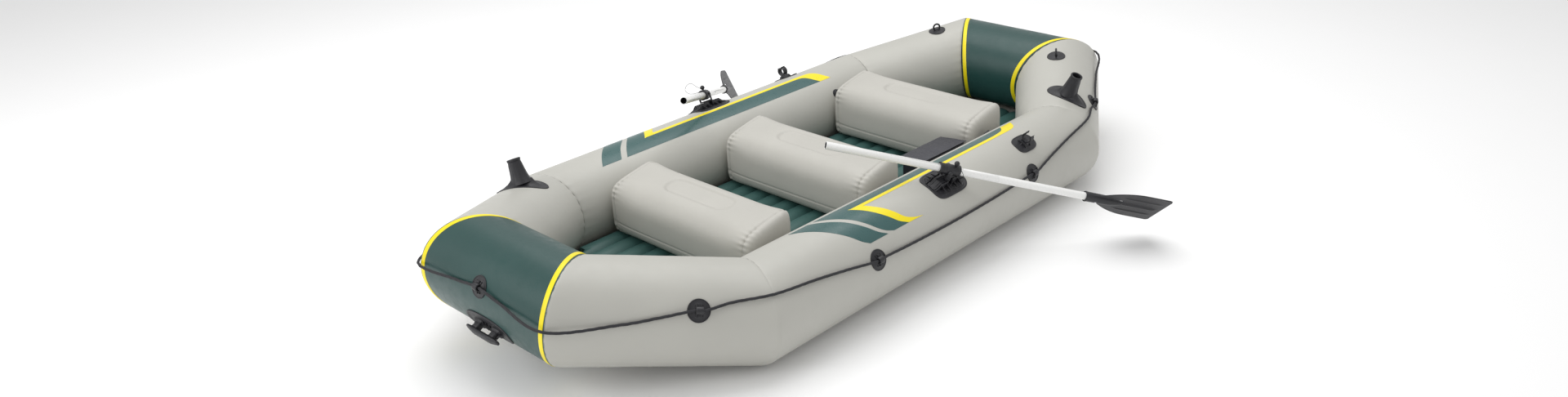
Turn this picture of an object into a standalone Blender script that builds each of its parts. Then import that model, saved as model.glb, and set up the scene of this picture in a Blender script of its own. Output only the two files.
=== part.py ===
"""Inflatable rowing boat with two oars: an eight-panel hull tube, an air floor, three seats and its fittings.

Metres, +Z up. The origin is under the middle of the boat, on the surface that it lies on.
The bow points along -Y, port is +X and starboard is -X.
"""

import math

import bmesh
import bpy
from mathutils import Matrix, Vector

# ---- Driving dimensions ----
GAP = 0.0003  # clearance between pieces that touch
SKIN = 0.001  # wall of every inflated piece
SHEET = 0.001  # bottom sheet
PATCH = 0.003  # moulded flange of a fitting that is welded to the hull

# Hull tube: its axis runs round an eight-sided outline.
HULL_SIDES = 32
SIDE_RADIUS = 0.176
BOW_RADIUS = 0.177
STERN_RADIUS = 0.1885
SIDE_AXIS_X = 0.564
SIDE_AXIS_Z = SIDE_RADIUS + SHEET + GAP
BOW_CORNER = (0.249, -1.423, 0.280)
BOW_KNUCKLE_Y = -0.939
STERN_KNUCKLE_Y = 0.917
STERN_CORNER = (0.255, 1.411, 0.277)

# Air floor and bottom sheet
FLOOR_TOP = 0.108
FLOOR_HALF_WIDTH = 0.394
FLOOR_FRONT = -1.365
FLOOR_BACK = 1.312
SHEET_FRONT_FOLD = -0.961
SHEET_BACK_FOLD = 0.935
SHEET_FRONT_SLOPE = math.tan(math.radians(11.9))
SHEET_BACK_SLOPE = math.tan(math.radians(10.0))

# Seats: (name, middle y, top z, half depth)
SEAT_HALF_LENGTH = 0.384
SEATS = (("seat_front", -0.655, 0.336, 0.130), ("seat_middle", -0.040, 0.344, 0.128), ("seat_rear", 0.655, 0.358, 0.132))
SEAT_VALVE_RADIUS = 0.006

# Grab line and the guides that hold it. Angles turn up from the horizontal outboard side of the tube.
ROPE_RADIUS = 0.005
GUIDE_RADIUS = 0.0375
GUIDE_LIFT = 0.0045
GUIDE_BRIDGE_RADIUS = 0.0125
GUIDE_BRIDGE_LENGTH = 0.022
ROPE_AT_GUIDE = 0.0112
ROPE_STEP = 0.13
ROPE_SAG = 3.5  # degrees, halfway between the side guides
ROPE_AT_SEAM = {"bow": 13.0, "bow_quarter": 46.0, "side": 47.0, "stern_quarter": 26.0}  # angle at a panel's stern end
GUIDE_SPOTS = (
    ("bow_centre", "bow", 0.0, 22.0),
    ("bow_quarter", "bow_quarter", -1.117, 29.0),
    ("side_front", "side", -0.492, 21.0),
    ("side_rear", "side", 0.464, 20.0),
    ("stern_quarter", "stern_quarter", 1.075, 34.0),
    ("stern_centre", "stern", 0.0, 26.0),
)

# Tie-down rings, rod holders, oar clips and tow handle
RING_SPOT = (1.295, 94.0)
RING_PATCH_RADIUS = 0.040
RING_RADIUS = 0.0155
RING_WIRE = 0.0045
ROD_SPOTS = (("rod_holder_stern", "port", "stern_quarter", 1.017, 78.0, -32.0),
             ("rod_holder_bow", "starboard", "bow_quarter", -1.091, 86.0, 25.0))
ROD_LEAN = math.radians(22.0)
ROD_PATCH = (0.190, 0.100)
ROD_HEIGHT = 0.100
ROD_BASE_RADIUS = 0.046
ROD_TOP_RADIUS = 0.0225
ROD_BORE_RADIUS = 0.0185
CLIP_SPOT = (0.515, 60.0)
CLIP_PATCH = (0.120, 0.080)
CLIP_CENTRE = 0.034
CLIP_BORE = 0.0158
CLIP_WALL = 0.005
CLIP_LENGTH = 0.024
TOW_SPOT = (0.015, -26.0)
TOW_PATCH = (0.240, 0.100)
TOW_HEIGHT = 0.044
TOW_BAR = (0.212, 0.030, 0.014)
TOW_POST_X = 0.052

# Oarlocks: the yoke turns about the base's normal, and the collar dips on the yoke's trunnions.
LOCK_STATION = 0.005
LOCK_ANGLE = 66.0
LOCK_PATCH = (0.190, 0.130)
LOCK_CHEEK_TOP = 0.024
LOCK_CHEEK_HALF_WIDTH = 0.025
COLLAR_HEIGHT = 0.056  # collar centre above the tube
POST_RADIUS = 0.0145
TRUNNION_RADIUS = 0.004
COLLAR_RADIUS = 0.021
COLLAR_BORE = 0.0150
COLLAR_HALF_LENGTH = 0.040

# Oars: distances run along the shaft from the collar, towards the blade.
OAR_DIRECTION = (0.586, 0.755, -0.294)  # port oar; the starboard oar mirrors it
SHAFT_RADIUS = 0.0145
SHAFT_SIDES = 16
HANDLE_END = -0.480
SHAFT_JOINT = 0.195
SPIGOT_END = 0.275
SOCKET_START = 0.555
SHAFT_END = 0.640
BLADE_TIP = 0.880
BLADE_HALF_WIDTH = 0.095
BLADE_THICKNESS = 0.004
BLADE_ROLL = {"port": 25.0, "starboard": 8.0}
SOCKET_RADIUS = 0.0190
PIN_PLACE = 0.018
PIN_RADIUS = 0.003
BUTTON_PLACE = 0.220
BUTTON_RADIUS = 0.004
RIVET_PLACE = 0.600
TETHER_RADIUS = 0.0009

# Pin tethers: (up, outboard, along) from the collar centre
TETHER_ROUTES = {
    "port": (
        (0.0330, 0.0104, 0.018), (0.0360, 0.030, 0.024), (0.0240, 0.052, 0.036), (-0.0100, 0.061, 0.040),
        (-0.0300, 0.061, 0.026), (-0.0310, 0.054, 0.010), (-0.0265, 0.042, 0.014), (-0.0190, 0.031, 0.024),
        (-0.0112, 0.0194, 0.031),
    ),
    "starboard": (
        (0.0330, 0.0108, 0.018), (0.0460, 0.024, 0.019), (0.0660, 0.041, 0.017), (0.0640, 0.062, 0.014),
        (0.0450, 0.075, 0.012), (0.0270, 0.064, 0.015), (0.0200, 0.046, 0.022), (0.0190, 0.032, 0.028),
        (0.0158, 0.0160, 0.031),
    ),
}

# Pouch on the inside of the port tube, and the screw valves
POUCH_X = (0.262, 0.384)
POUCH_Y = (0.225, 0.495)
POUCH_TOP = (0.262, 0.276)  # inboard and outboard edge
POUCH_WALL = 0.002
LID_OVERHANG = 0.006
LID_LIP = 0.028
VALVE_SPOT = (0.610, 146.0)
FLOOR_VALVE = (0.190, 1.130)
VALVE_FLANGE_RADIUS = 0.022
VALVE_NECK_RADIUS = 0.0135
VALVE_NECK_TOP = 0.009
CAP_RADIUS = 0.0165
CAP_HEIGHT = 0.011


# ---- Scene and materials ----
def clear_scene():
    for obj in list(bpy.data.objects):
        bpy.data.objects.remove(obj, do_unlink=True)


def new_collection(name):
    made = bpy.data.collections.new(name)
    bpy.context.scene.collection.children.link(made)
    return made


def material(name, colour, roughness, metallic=0.0):
    made = bpy.data.materials.new(name)
    made.use_nodes = True
    shader = made.node_tree.nodes["Principled BSDF"]
    shader.inputs["Base Color"].default_value = (*colour, 1.0)
    shader.inputs["Roughness"].default_value = roughness
    shader.inputs["Metallic"].default_value = metallic
    made.diffuse_color = (*colour, 1.0)
    return made


clear_scene()
BOAT = new_collection("inflatable_boat")
CUTTERS = new_collection("cutters")
GREY_VINYL = material("grey_vinyl", (0.52, 0.51, 0.47), 0.45)
GREEN_VINYL = material("green_vinyl", (0.035, 0.115, 0.10), 0.45)
FLOOR_VINYL = material("floor_vinyl", (0.03, 0.085, 0.08), 0.5)
BLACK_VINYL = material("black_vinyl", (0.035, 0.035, 0.045), 0.55)
BLACK_PLASTIC = material("black_plastic", (0.028, 0.027, 0.034), 0.5)
WHITE_TUBE = material("white_coated_aluminium", (0.75, 0.75, 0.73), 0.35)
STEEL = material("steel", (0.6, 0.6, 0.62), 0.3, 1.0)
BLACK_CORD = material("black_cord", (0.02, 0.02, 0.022), 0.8)
CLEAR_VINYL = material("clear_vinyl", (0.5, 0.53, 0.52), 0.25)


# ---- Shapes ----
def cylinder(radius, low, high, sides=24, top_radius=None):
    """A closed cylinder or cone along Z."""
    shape = bmesh.new()
    end = radius if top_radius is None else top_radius
    bmesh.ops.create_cone(shape, cap_ends=True, segments=sides, radius1=radius, radius2=end, depth=high - low)
    bmesh.ops.translate(shape, verts=shape.verts, vec=(0, 0, (low + high) / 2))
    return shape


def box(size, centre):
    shape = bmesh.new()
    bmesh.ops.create_cube(shape, size=1.0)
    bmesh.ops.scale(shape, verts=shape.verts, vec=size)
    bmesh.ops.translate(shape, verts=shape.verts, vec=centre)
    return shape


def moved(shape, matrix):
    bmesh.ops.transform(shape, matrix=matrix, verts=shape.verts)
    return shape


def prism(outline, low, high):
    """The flat outline, a list of (x, y), drawn up from low to high."""
    shape = bmesh.new()
    shape.faces.new([shape.verts.new((x, y, low)) for x, y in outline])
    raised = bmesh.ops.extrude_face_region(shape, geom=shape.faces[:])["geom"]
    corners = [item for item in raised if isinstance(item, bmesh.types.BMVert)]
    bmesh.ops.translate(shape, verts=corners, vec=(0, 0, high - low))
    bmesh.ops.recalc_face_normals(shape, faces=shape.faces)
    return shape


def loft(rings, around=False):
    """A skin over the rings; around joins the last ring to the first, else both ends are capped."""
    shape = bmesh.new()
    rows = [[shape.verts.new(point) for point in ring] for ring in rings]
    followers = rows[1:] + rows[:1] if around else rows[1:]
    for row, after in zip(rows, followers):
        for index in range(len(row)):
            beside = (index + 1) % len(row)
            shape.faces.new((row[index], row[beside], after[beside], after[index]))
    if not around:
        shape.faces.new(rows[0])
        shape.faces.new(rows[-1])
    bmesh.ops.recalc_face_normals(shape, faces=shape.faces)
    return shape


def torus(radius, wire_radius, turns, sides):
    """A ring that stands in the XZ plane, round Y."""
    rings = []
    for index in range(turns):
        turn = 2 * math.pi * index / turns
        way = Vector((math.cos(turn), 0, math.sin(turn)))
        bends = [2 * math.pi * corner / sides for corner in range(sides)]
        rings.append([way * (radius + wire_radius * math.cos(bend)) + Vector((0, wire_radius * math.sin(bend), 0))
                      for bend in bends])
    return loft(rings, around=True)


def oval(length, width, points=24, power=2.0):
    """A superellipse outline; power 2 is an ellipse and a higher power is squarer."""
    outline = []
    for index in range(points):
        turn = 2 * math.pi * (index + 0.5) / points
        x, y = math.cos(turn), math.sin(turn)
        outline.append((length / 2 * math.copysign(abs(x) ** (2 / power), x),
                        width / 2 * math.copysign(abs(y) ** (2 / power), y)))
    return outline


# ---- Objects ----
def new_object(name, shape, home, frame):
    mesh = bpy.data.meshes.new(name)
    shape.to_mesh(mesh)
    shape.free()
    obj = bpy.data.objects.new(name, mesh)
    home.objects.link(obj)
    obj.matrix_world = frame
    return obj


def helper(name, shape, frame):
    obj = new_object(name, shape, CUTTERS, frame)
    obj.hide_render = True
    obj.display_type = "WIRE"
    return obj


def apply_steps(obj, steps):
    """Adds a Boolean for each (operation, shape or helper object), in order."""
    for number, (operation, other) in enumerate(steps):
        if not isinstance(other, bpy.types.Object):
            other = helper(f"{obj.name}_{operation.lower()}_{number}", other, obj.matrix_world.copy())
        modifier = obj.modifiers.new(f"{operation.title()} {number}", "BOOLEAN")
        modifier.operation = operation
        modifier.object = other


def piece(name, shape, finish, frame=None, steps=()):
    obj = new_object(name, shape, BOAT, frame or Matrix())
    obj.data.materials.append(finish)
    obj.data.shade_smooth()
    obj.data.set_sharp_from_angle(angle=math.radians(35))
    apply_steps(obj, steps)
    return obj


def turned(name, profile, finish, frame, sides=24, hollow=False, steps=()):
    """A piece turned about Z; the profile's (radius, z) points run down its outer side."""
    outline = bmesh.new()
    corners = [outline.verts.new((radius, 0, z)) for radius, z in profile]
    for start, end in zip(corners, corners[1:] + (corners[:1] if hollow else [])):
        outline.edges.new((start, end))
    obj = new_object(name, outline, BOAT, frame)
    obj.data.materials.append(finish)
    screw = obj.modifiers.new("Turn", "SCREW")
    screw.steps = screw.render_steps = sides
    screw.use_merge_vertices = True
    screw.merge_threshold = 0.00002
    screw.use_smooth_shade = True
    apply_steps(obj, steps)
    return obj


def wire(name, points, radius, finish, closed=False):
    """A round wire through the points, in world space."""
    curve = bpy.data.curves.new(name, "CURVE")
    curve.dimensions = "3D"
    curve.bevel_depth = radius
    curve.bevel_resolution = 2
    curve.use_fill_caps = not closed
    line = curve.splines.new("POLY")
    line.points.add(len(points) - 1)
    for point, place in zip(line.points, points):
        point.co = (*place, 1.0)
    line.use_cyclic_u = closed
    obj = bpy.data.objects.new(name, curve)
    BOAT.objects.link(obj)
    curve.materials.append(finish)
    return obj


def shell(obj, hole, frame, radius):
    """Hollows a closed solid to a thin skin and opens it with a small round valve hole."""
    wall = obj.modifiers.new("Skin", "SOLIDIFY")
    wall.thickness = SKIN
    wall.offset = -1
    wall.use_even_offset = True
    opening = helper(f"{obj.name}_valve_hole", hole, frame)
    cut = obj.modifiers.new("Valve hole", "BOOLEAN")
    cut.operation = "DIFFERENCE"
    cut.object = opening


def smooth_route(route, per_span):
    """Points on a Catmull-Rom curve through the route's own points."""
    ends = [2 * route[0] - route[1], *route, 2 * route[-1] - route[-2]]
    points = []
    for a, b, c, d in zip(ends, ends[1:], ends[2:], ends[3:]):
        for index in range(per_span):
            t = index / per_span
            points.append(0.5 * (2 * b + (c - a) * t + (2 * a - 5 * b + 4 * c - d) * t * t
                                 + (3 * b - a - 3 * c + d) * t ** 3))
    return points + [route[-1]]


# ---- Hull geometry ----
class Panel:
    """One straight length of the hull tube, from start to end, going round the boat."""

    def __init__(self, start, end, start_radius, end_radius):
        self.start, self.end = Vector(start), Vector(end)
        self.radii = (start_radius, end_radius)
        self.length = (self.end - self.start).length
        self.along = (self.end - self.start).normalized()
        self.out = self.along.cross(Vector((0, 0, 1))).normalized()
        self.up = self.out.cross(self.along)
        self.mitres = [None, None]

    def radius(self, distance):
        return self.radii[0] + (self.radii[1] - self.radii[0]) * distance / self.length

    def normal(self, angle):
        turn = math.radians(angle)
        return math.cos(turn) * self.out + math.sin(turn) * self.up

    def distance(self, station):
        """Distance along the axis to a station: an x on the bow and stern tubes, a y on the others."""
        axis = 0 if abs(self.along.x) > 0.9 else 1
        return (station - self.start[axis]) / self.along[axis]

    def surface(self, distance, angle, lift=0.0):
        return self.start + self.along * distance + self.normal(angle) * (self.radius(distance) + lift)

    def frame(self, station, angle, lift=0.0):
        """X along the tube, Y round it, Z out of it, with the origin on its surface."""
        distance = self.distance(station)
        out = self.normal(angle)
        return framed(self.along, out.cross(self.along), out, self.surface(distance, angle, lift))

    def ring(self, end, offset, setback):
        """The tube's section in its mitre plane at end 0 or 1, set back from the plane."""
        corner = (self.start, self.end)[end]
        radius = (self.radii[end] + offset) / math.cos(math.pi / HULL_SIDES)
        mitre = self.mitres[end]
        back = (setback, -setback)[end]
        points = []
        for index in range(HULL_SIDES):
            reach = self.normal(360 * (index + 0.5) / HULL_SIDES) * radius
            slide = (back - reach.dot(mitre)) / self.along.dot(mitre)
            points.append(corner + reach + self.along * slide)
        return points

    def tube(self):
        rings = [self.ring(0, 0.0, GAP / 2), self.ring(1, 0.0, GAP / 2),
                 self.ring(1, -SKIN, GAP / 2), self.ring(0, -SKIN, GAP / 2)]
        return loft(rings, around=True)

    def core(self, offset):
        """The solid that the tube fills, grown by offset and run a little past both ends."""
        return loft([self.ring(0, offset, -0.001), self.ring(1, offset, -0.001)])


def framed(x, y, z, origin):
    matrix = Matrix((x.normalized(), y.normalized(), z.normalized())).transposed().to_4x4()
    matrix.translation = origin
    return matrix


def hull_panels():
    """The eight panels by name, counter-clockwise from above, starting with the bow tube."""
    bow, stern = Vector(BOW_CORNER), Vector(STERN_CORNER)
    front = Vector((SIDE_AXIS_X, BOW_KNUCKLE_Y, SIDE_AXIS_Z))
    back = Vector((SIDE_AXIS_X, STERN_KNUCKLE_Y, SIDE_AXIS_Z))
    radius = {id(bow): BOW_RADIUS, id(front): SIDE_RADIUS, id(back): SIDE_RADIUS, id(stern): STERN_RADIUS}
    round_trip = [(bow, -1), (bow, 1), (front, 1), (back, 1), (stern, 1), (stern, -1), (back, -1), (front, -1)]
    names = ("bow_tube", "bow_quarter_port", "side_tube_port", "stern_quarter_port",
             "stern_tube", "stern_quarter_starboard", "side_tube_starboard", "bow_quarter_starboard")
    panels = {}
    for index, name in enumerate(names):
        (first, first_side), (second, second_side) = round_trip[index], round_trip[(index + 1) % 8]
        start = Vector((first.x * first_side, first.y, first.z))
        end = Vector((second.x * second_side, second.y, second.z))
        panels[name] = Panel(start, end, radius[id(first)], radius[id(second)])
    around = list(panels.values())
    for before, after in zip(around, around[1:] + around[:1]):
        before.mitres[1] = after.mitres[0] = (before.along + after.along).normalized()
    return panels


PANELS = hull_panels()
SIDES = {"port": 1, "starboard": -1}


def panel_at(place, side=""):
    """The panel's name for a place such as side or bow_quarter."""
    if place in ("bow", "stern"):
        return f"{place}_tube"
    return f"{place}_tube_{side}" if place == "side" else f"{place}_{side}"


def inner_half_width(y, z):
    """Half the width that the hull leaves free at (y, z), inside it."""
    for name in ("bow_quarter_port", "side_tube_port", "stern_quarter_port"):
        panel = PANELS[name]
        if panel.start.y <= y <= panel.end.y:
            distance = panel.distance(y)
            axis = panel.start + panel.along * distance
            fall = (axis.z - z) / panel.up.z
            reach = math.sqrt(max(panel.radius(distance) ** 2 - fall ** 2, 0.0)) / panel.out.x
            return axis.x - reach
    return 0.0


def sheet_height(y):
    """Height of the bottom sheet's underside: flat, then rising to the bow and to the stern."""
    return max((SHEET_FRONT_FOLD - y) * SHEET_FRONT_SLOPE, (y - SHEET_BACK_FOLD) * SHEET_BACK_SLOPE, 0.0)


# ---- Hull, floor and seats ----
def make_hull():
    for name, panel in PANELS.items():
        finish = GREEN_VINYL if name in ("bow_tube", "stern_tube") else GREY_VINYL
        piece(name, panel.tube(), finish)
    for name, tube in (("bulkhead_bow", "bow_tube"), ("bulkhead_stern", "stern_tube")):
        panel = PANELS[tube]
        middle = panel.length / 2
        radius = (panel.radius(middle) - SKIN - GAP) / math.cos(math.pi / HULL_SIDES)
        rings = [[panel.start + panel.along * (middle + offset) + radius * panel.normal(360 * (k + 0.5) / HULL_SIDES)
                  for k in range(HULL_SIDES)] for offset in (-SKIN / 2, SKIN / 2)]
        piece(name, loft(rings), GREY_VINYL)


def make_bottom_sheet():
    """One sheet under the hull, folded up at the bow and the stern."""
    bow_x, bow_y, _ = BOW_CORNER
    stern_x, stern_y, _ = STERN_CORNER
    fold_share = (SHEET_FRONT_FOLD - BOW_KNUCKLE_Y) / (bow_y - BOW_KNUCKLE_Y)
    front_x = SIDE_AXIS_X + (bow_x - SIDE_AXIS_X) * fold_share
    fold_share = (SHEET_BACK_FOLD - STERN_KNUCKLE_Y) / (stern_y - STERN_KNUCKLE_Y)
    back_x = SIDE_AXIS_X + (stern_x - SIDE_AXIS_X) * fold_share
    stations = [(bow_x, bow_y), (front_x, SHEET_FRONT_FOLD), (SIDE_AXIS_X, BOW_KNUCKLE_Y),
                (SIDE_AXIS_X, STERN_KNUCKLE_Y), (back_x, SHEET_BACK_FOLD), (stern_x, stern_y)]
    rings = []
    for x, y in stations:
        low = sheet_height(y)
        rings.append([(-x, y, low), (x, y, low), (x, y, low + SHEET), (-x, y, low + SHEET)])
    piece("bottom_sheet", loft(rings), GREY_VINYL)


def make_floor():
    stations = (FLOOR_FRONT, -1.28, -1.18, -1.05, SHEET_FRONT_FOLD, -0.90, 0.88, SHEET_BACK_FOLD, 1.04, 1.16, 1.25,
                FLOOR_BACK)
    rings = []
    for y in stations:
        low = sheet_height(y) + SHEET + GAP
        half = min(FLOOR_HALF_WIDTH, inner_half_width(y, FLOOR_TOP) - 0.003)
        rings.append([(-half, y, low), (half, y, low), (half, y, FLOOR_TOP), (-half, y, FLOOR_TOP)])
    floor = piece("air_floor", loft(rings), FLOOR_VINYL)
    x, y = FLOOR_VALVE
    hole = cylinder(VALVE_NECK_RADIUS - 0.004, FLOOR_TOP - 0.01, FLOOR_TOP + 0.01, 16)
    shell(floor, hole, Matrix.Translation((x, y, 0)), VALVE_NECK_RADIUS)


def make_seat(name, middle, top, half_depth):
    """A box-shaped cushion whose sides pull in slightly at its end panels."""
    low = FLOOR_TOP + GAP
    height = (top - low) / 2
    rings = []
    for x, share in ((-1.0, 0.90), (-0.965, 0.97), (-0.4, 1.0), (0.4, 1.0), (0.965, 0.97), (1.0, 0.90)):
        section = oval(2 * half_depth * share, 2 * height * share, 16, 3.4)
        rings.append([(x * SEAT_HALF_LENGTH, middle + y, low + height + z) for y, z in section])
    seat = piece(name, loft(rings), GREY_VINYL)
    hole = cylinder(SEAT_VALVE_RADIUS, -0.02, 0.02, 12)
    place = Matrix.Translation((0.0, middle + half_depth, low + height)) @ Matrix.Rotation(math.pi / 2, 4, "X")
    shell(seat, hole, place, SEAT_VALVE_RADIUS)


# ---- Hull fittings ----
def cores(panel_name):
    """Helpers for a fitting's underside and for the top of its flange, made once for each panel."""
    made = []
    for label, offset in (("under", GAP), ("flange", GAP + PATCH)):
        name = f"{panel_name}_{label}"
        made.append(bpy.data.objects.get(name) or helper(name, PANELS[panel_name].core(offset), Matrix()))
    return made


def make_guide(name, panel_name, station, angle):
    under, _ = cores(panel_name)
    frame = PANELS[panel_name].frame(station, angle)
    across = Matrix.Translation((0, 0, ROPE_AT_GUIDE)) @ Matrix.Rotation(math.pi / 2, 4, "Y")
    half = GUIDE_BRIDGE_LENGTH / 2
    bridge = moved(cylinder(GUIDE_BRIDGE_RADIUS, -half, half, 16), across)
    bore = moved(cylinder(ROPE_RADIUS + 0.0012, -0.06, 0.06, 12), across)
    disc = cylinder(GUIDE_RADIUS, -0.010, GUIDE_LIFT, 20)
    piece(name, disc, BLACK_PLASTIC, frame, [("UNION", bridge), ("DIFFERENCE", bore), ("DIFFERENCE", under)])


def make_guides():
    for label, place, station, angle in GUIDE_SPOTS:
        if place in ("bow", "stern"):
            make_guide(f"rope_guide_{label}", panel_at(place), station, angle)
            continue
        for side in SIDES:
            make_guide(f"rope_guide_{label}_{side}", panel_at(place, side), station, angle)


def leg_angles(here, there, place, side, angle, next_angle):
    """The rope's angles at both ends of a stretch that crosses a seam, each on its own panel."""
    end = 1 if side == "port" else 0
    point = seam_point(here, here.length * end, ROPE_AT_SEAM[place], ROPE_RADIUS)
    reach = point - (there.end, there.start)[end]
    across = math.degrees(math.atan2(reach.dot(there.up), reach.dot(there.out)))
    return [(angle, ROPE_AT_SEAM[place]), (across, next_angle)]


def grab_line_half(side):
    """Rope points on one side of the boat, from the bow centre to the stern centre."""
    facet = SIDE_RADIUS * (1 / math.cos(math.pi / HULL_SIDES) - 1)
    rest = ROPE_RADIUS + facet + 0.0007
    points = []
    for (_, place, station, angle), (_, next_place, next_station, next_angle) in zip(GUIDE_SPOTS, GUIDE_SPOTS[1:]):
        here, there = PANELS[panel_at(place, side)], PANELS[panel_at(next_place, side)]
        legs = [(here, here.distance(station), here.distance(next_station))]
        turns, sag = [(angle, next_angle)], ROPE_SAG
        if here is not there:
            leaves, enters = (here.length, 0.0) if side == "port" else (0.0, there.length)
            legs = [(here, here.distance(station), leaves), (there, enters, there.distance(next_station))]
            turns, sag = leg_angles(here, there, place, side, angle, next_angle), 0.0
        for leg, ((panel, start, end), (turn_from, turn_to)) in enumerate(zip(legs, turns)):
            steps = max(2, round(abs(end - start) / ROPE_STEP))
            rate = (turn_to - turn_from) / (end - start)
            for index in range(1 if leg else 0, steps + 1):
                share = index / steps
                distance = start + (end - start) * share
                turn = turn_from + (turn_to - turn_from) * share - sag * math.sin(math.pi * share)
                if (leg == 0 and index == 0) or (leg == len(legs) - 1 and index == steps):
                    points += guide_points(panel, distance, turn, index == 0, end > start, rate)
                elif index == steps:
                    points.append(seam_point(panel, end, turn, rest))
                else:
                    points.append(panel.surface(distance, turn, rest))
    return points


def guide_points(panel, distance, angle, leaving, forward, rate):
    """The rope on the half of a guide that it is entering or leaving: level in the bridge."""
    way = (1 if forward else -1) * (1 if leaving else -1)
    inside = panel.surface(distance + way * 0.014, angle, ROPE_AT_GUIDE)
    edge = panel.surface(distance + way * 0.046, angle + rate * way * 0.032, ROPE_AT_GUIDE - 0.0012)
    return [inside, edge] if leaving else [edge, inside]


def seam_point(panel, distance, angle, lift):
    """The rope's point in the mitre plane at a seam."""
    end = 1 if distance > 0 else 0
    corner, mitre = (panel.start, panel.end)[end], panel.mitres[end]
    reach = panel.normal(angle) * (panel.radii[end] + lift)
    return corner + reach - panel.along * (reach.dot(mitre) / panel.along.dot(mitre))


def make_grab_line():
    port, starboard = grab_line_half("port"), grab_line_half("starboard")
    wire("grab_line", port + starboard[::-1], ROPE_RADIUS, BLACK_CORD, closed=True)


def make_tie_down_rings():
    station, angle = RING_SPOT
    for side in SIDES:
        panel = panel_at("stern_quarter", side)
        under, _ = cores(panel)
        ring = moved(torus(RING_RADIUS, RING_WIRE, 14, 6), Matrix.Translation((0, 0, RING_RADIUS + 0.002)))
        disc = cylinder(RING_PATCH_RADIUS, -0.012, GUIDE_LIFT, 20)
        piece(f"tie_down_ring_{side}", disc, BLACK_PLASTIC, PANELS[panel].frame(station, angle),
              [("UNION", ring), ("DIFFERENCE", under)])


def make_rod_holders():
    for name, side, place, station, angle, twist in ROD_SPOTS:
        panel = panel_at(place, side)
        under, flange = cores(panel)
        frame = PANELS[panel].frame(station, angle) @ Matrix.Rotation(math.radians(90 + twist), 4, "Z")
        lean = Vector((SIDES[side] * math.sin(ROD_LEAN), 0, math.cos(ROD_LEAN)))
        local = frame.to_3x3().inverted() @ lean
        tilt = local.to_track_quat("Z", "Y").to_matrix().to_4x4()
        cone = moved(cylinder(ROD_BASE_RADIUS, -0.02, ROD_HEIGHT, 16, ROD_TOP_RADIUS), tilt)
        bore = moved(cylinder(ROD_BORE_RADIUS, -0.06, ROD_HEIGHT + 0.02, 16), tilt)
        patch = prism(oval(*ROD_PATCH, points=20), -0.08, 0.02)
        piece(name, patch, BLACK_PLASTIC, frame,
              [("INTERSECT", flange), ("UNION", cone), ("DIFFERENCE", bore), ("DIFFERENCE", under)])


def make_oar_clips():
    station, angle = CLIP_SPOT
    outer = CLIP_BORE + CLIP_WALL
    for side in SIDES:
        panel = panel_at("side", side)
        under, flange = cores(panel)
        across = Matrix.Translation((0, 0, CLIP_CENTRE)) @ Matrix.Rotation(math.pi / 2, 4, "Y")
        half = CLIP_LENGTH / 2
        ring = moved(cylinder(outer, -half, half, 24), across)
        bore = moved(cylinder(CLIP_BORE, -half - 0.01, half + 0.01, 24), across)
        mouth = box((CLIP_LENGTH + 0.02, 1.5 * CLIP_BORE, 0.04), (0, 0, CLIP_CENTRE + 0.02))
        foot = box((CLIP_LENGTH, 0.030, CLIP_CENTRE - CLIP_BORE + 0.02), (0, 0, (CLIP_CENTRE - CLIP_BORE - 0.02) / 2))
        patch = prism(oval(*CLIP_PATCH, power=3.0), -0.04, 0.02)
        piece(f"oar_clip_{side}", patch, BLACK_PLASTIC, PANELS[panel].frame(station, angle),
              [("INTERSECT", flange), ("UNION", ring), ("UNION", foot), ("DIFFERENCE", bore),
               ("DIFFERENCE", mouth), ("DIFFERENCE", under)])


def make_tow_handle():
    """A moulded cleat: a bar with two horns on two posts, with room for fingers behind the bar."""
    station, angle = TOW_SPOT
    under, flange = cores("bow_tube")
    length, width, thickness = TOW_BAR
    sections = []
    for share, size in ((-1.0, 0.35), (-0.8, 0.75), (-0.3, 1.0), (0.3, 1.0), (0.8, 0.75), (1.0, 0.35)):
        outline = oval(width * size, thickness * size, 12, 2.5)
        sections.append([(share * length / 2, y, TOW_HEIGHT - thickness / 2 + z) for y, z in outline])
    steps = [("INTERSECT", flange), ("UNION", loft(sections))]
    for place in (-TOW_POST_X, TOW_POST_X):
        post = box((0.020, 0.020, TOW_HEIGHT + 0.01), (place, 0, TOW_HEIGHT / 2 - 0.005 - thickness / 2))
        steps.append(("UNION", post))
    patch = prism(oval(*TOW_PATCH, power=2.6), -0.05, 0.02)
    piece("tow_handle", patch, BLACK_PLASTIC, PANELS["bow_tube"].frame(station, angle),
          [*steps, ("DIFFERENCE", under)])


# ---- Oarlocks and oars ----
class Oar:
    """Frames of one oar: base normal, shaft direction and the trunnions' axis."""

    def __init__(self, side):
        self.side, self.sign = side, SIDES[side]
        self.panel_name = panel_at("side", side)
        self.panel = PANELS[self.panel_name]
        self.base = self.panel.frame(LOCK_STATION, LOCK_ANGLE)
        self.normal = self.panel.normal(LOCK_ANGLE)
        self.centre = self.base.translation + self.normal * COLLAR_HEIGHT
        way = Vector(OAR_DIRECTION)
        self.way = Vector((way.x * self.sign, way.y, way.z)).normalized()
        self.trunnion = self.way.cross(self.normal).normalized()
        # Frame with Z along the shaft towards the blade, X away from the hull, Y along the trunnions.
        self.frame = framed(self.trunnion.cross(self.way), self.trunnion, self.way, self.centre)
        self.yoke = framed(self.trunnion.cross(self.normal), self.trunnion, self.normal, self.base.translation)


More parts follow.
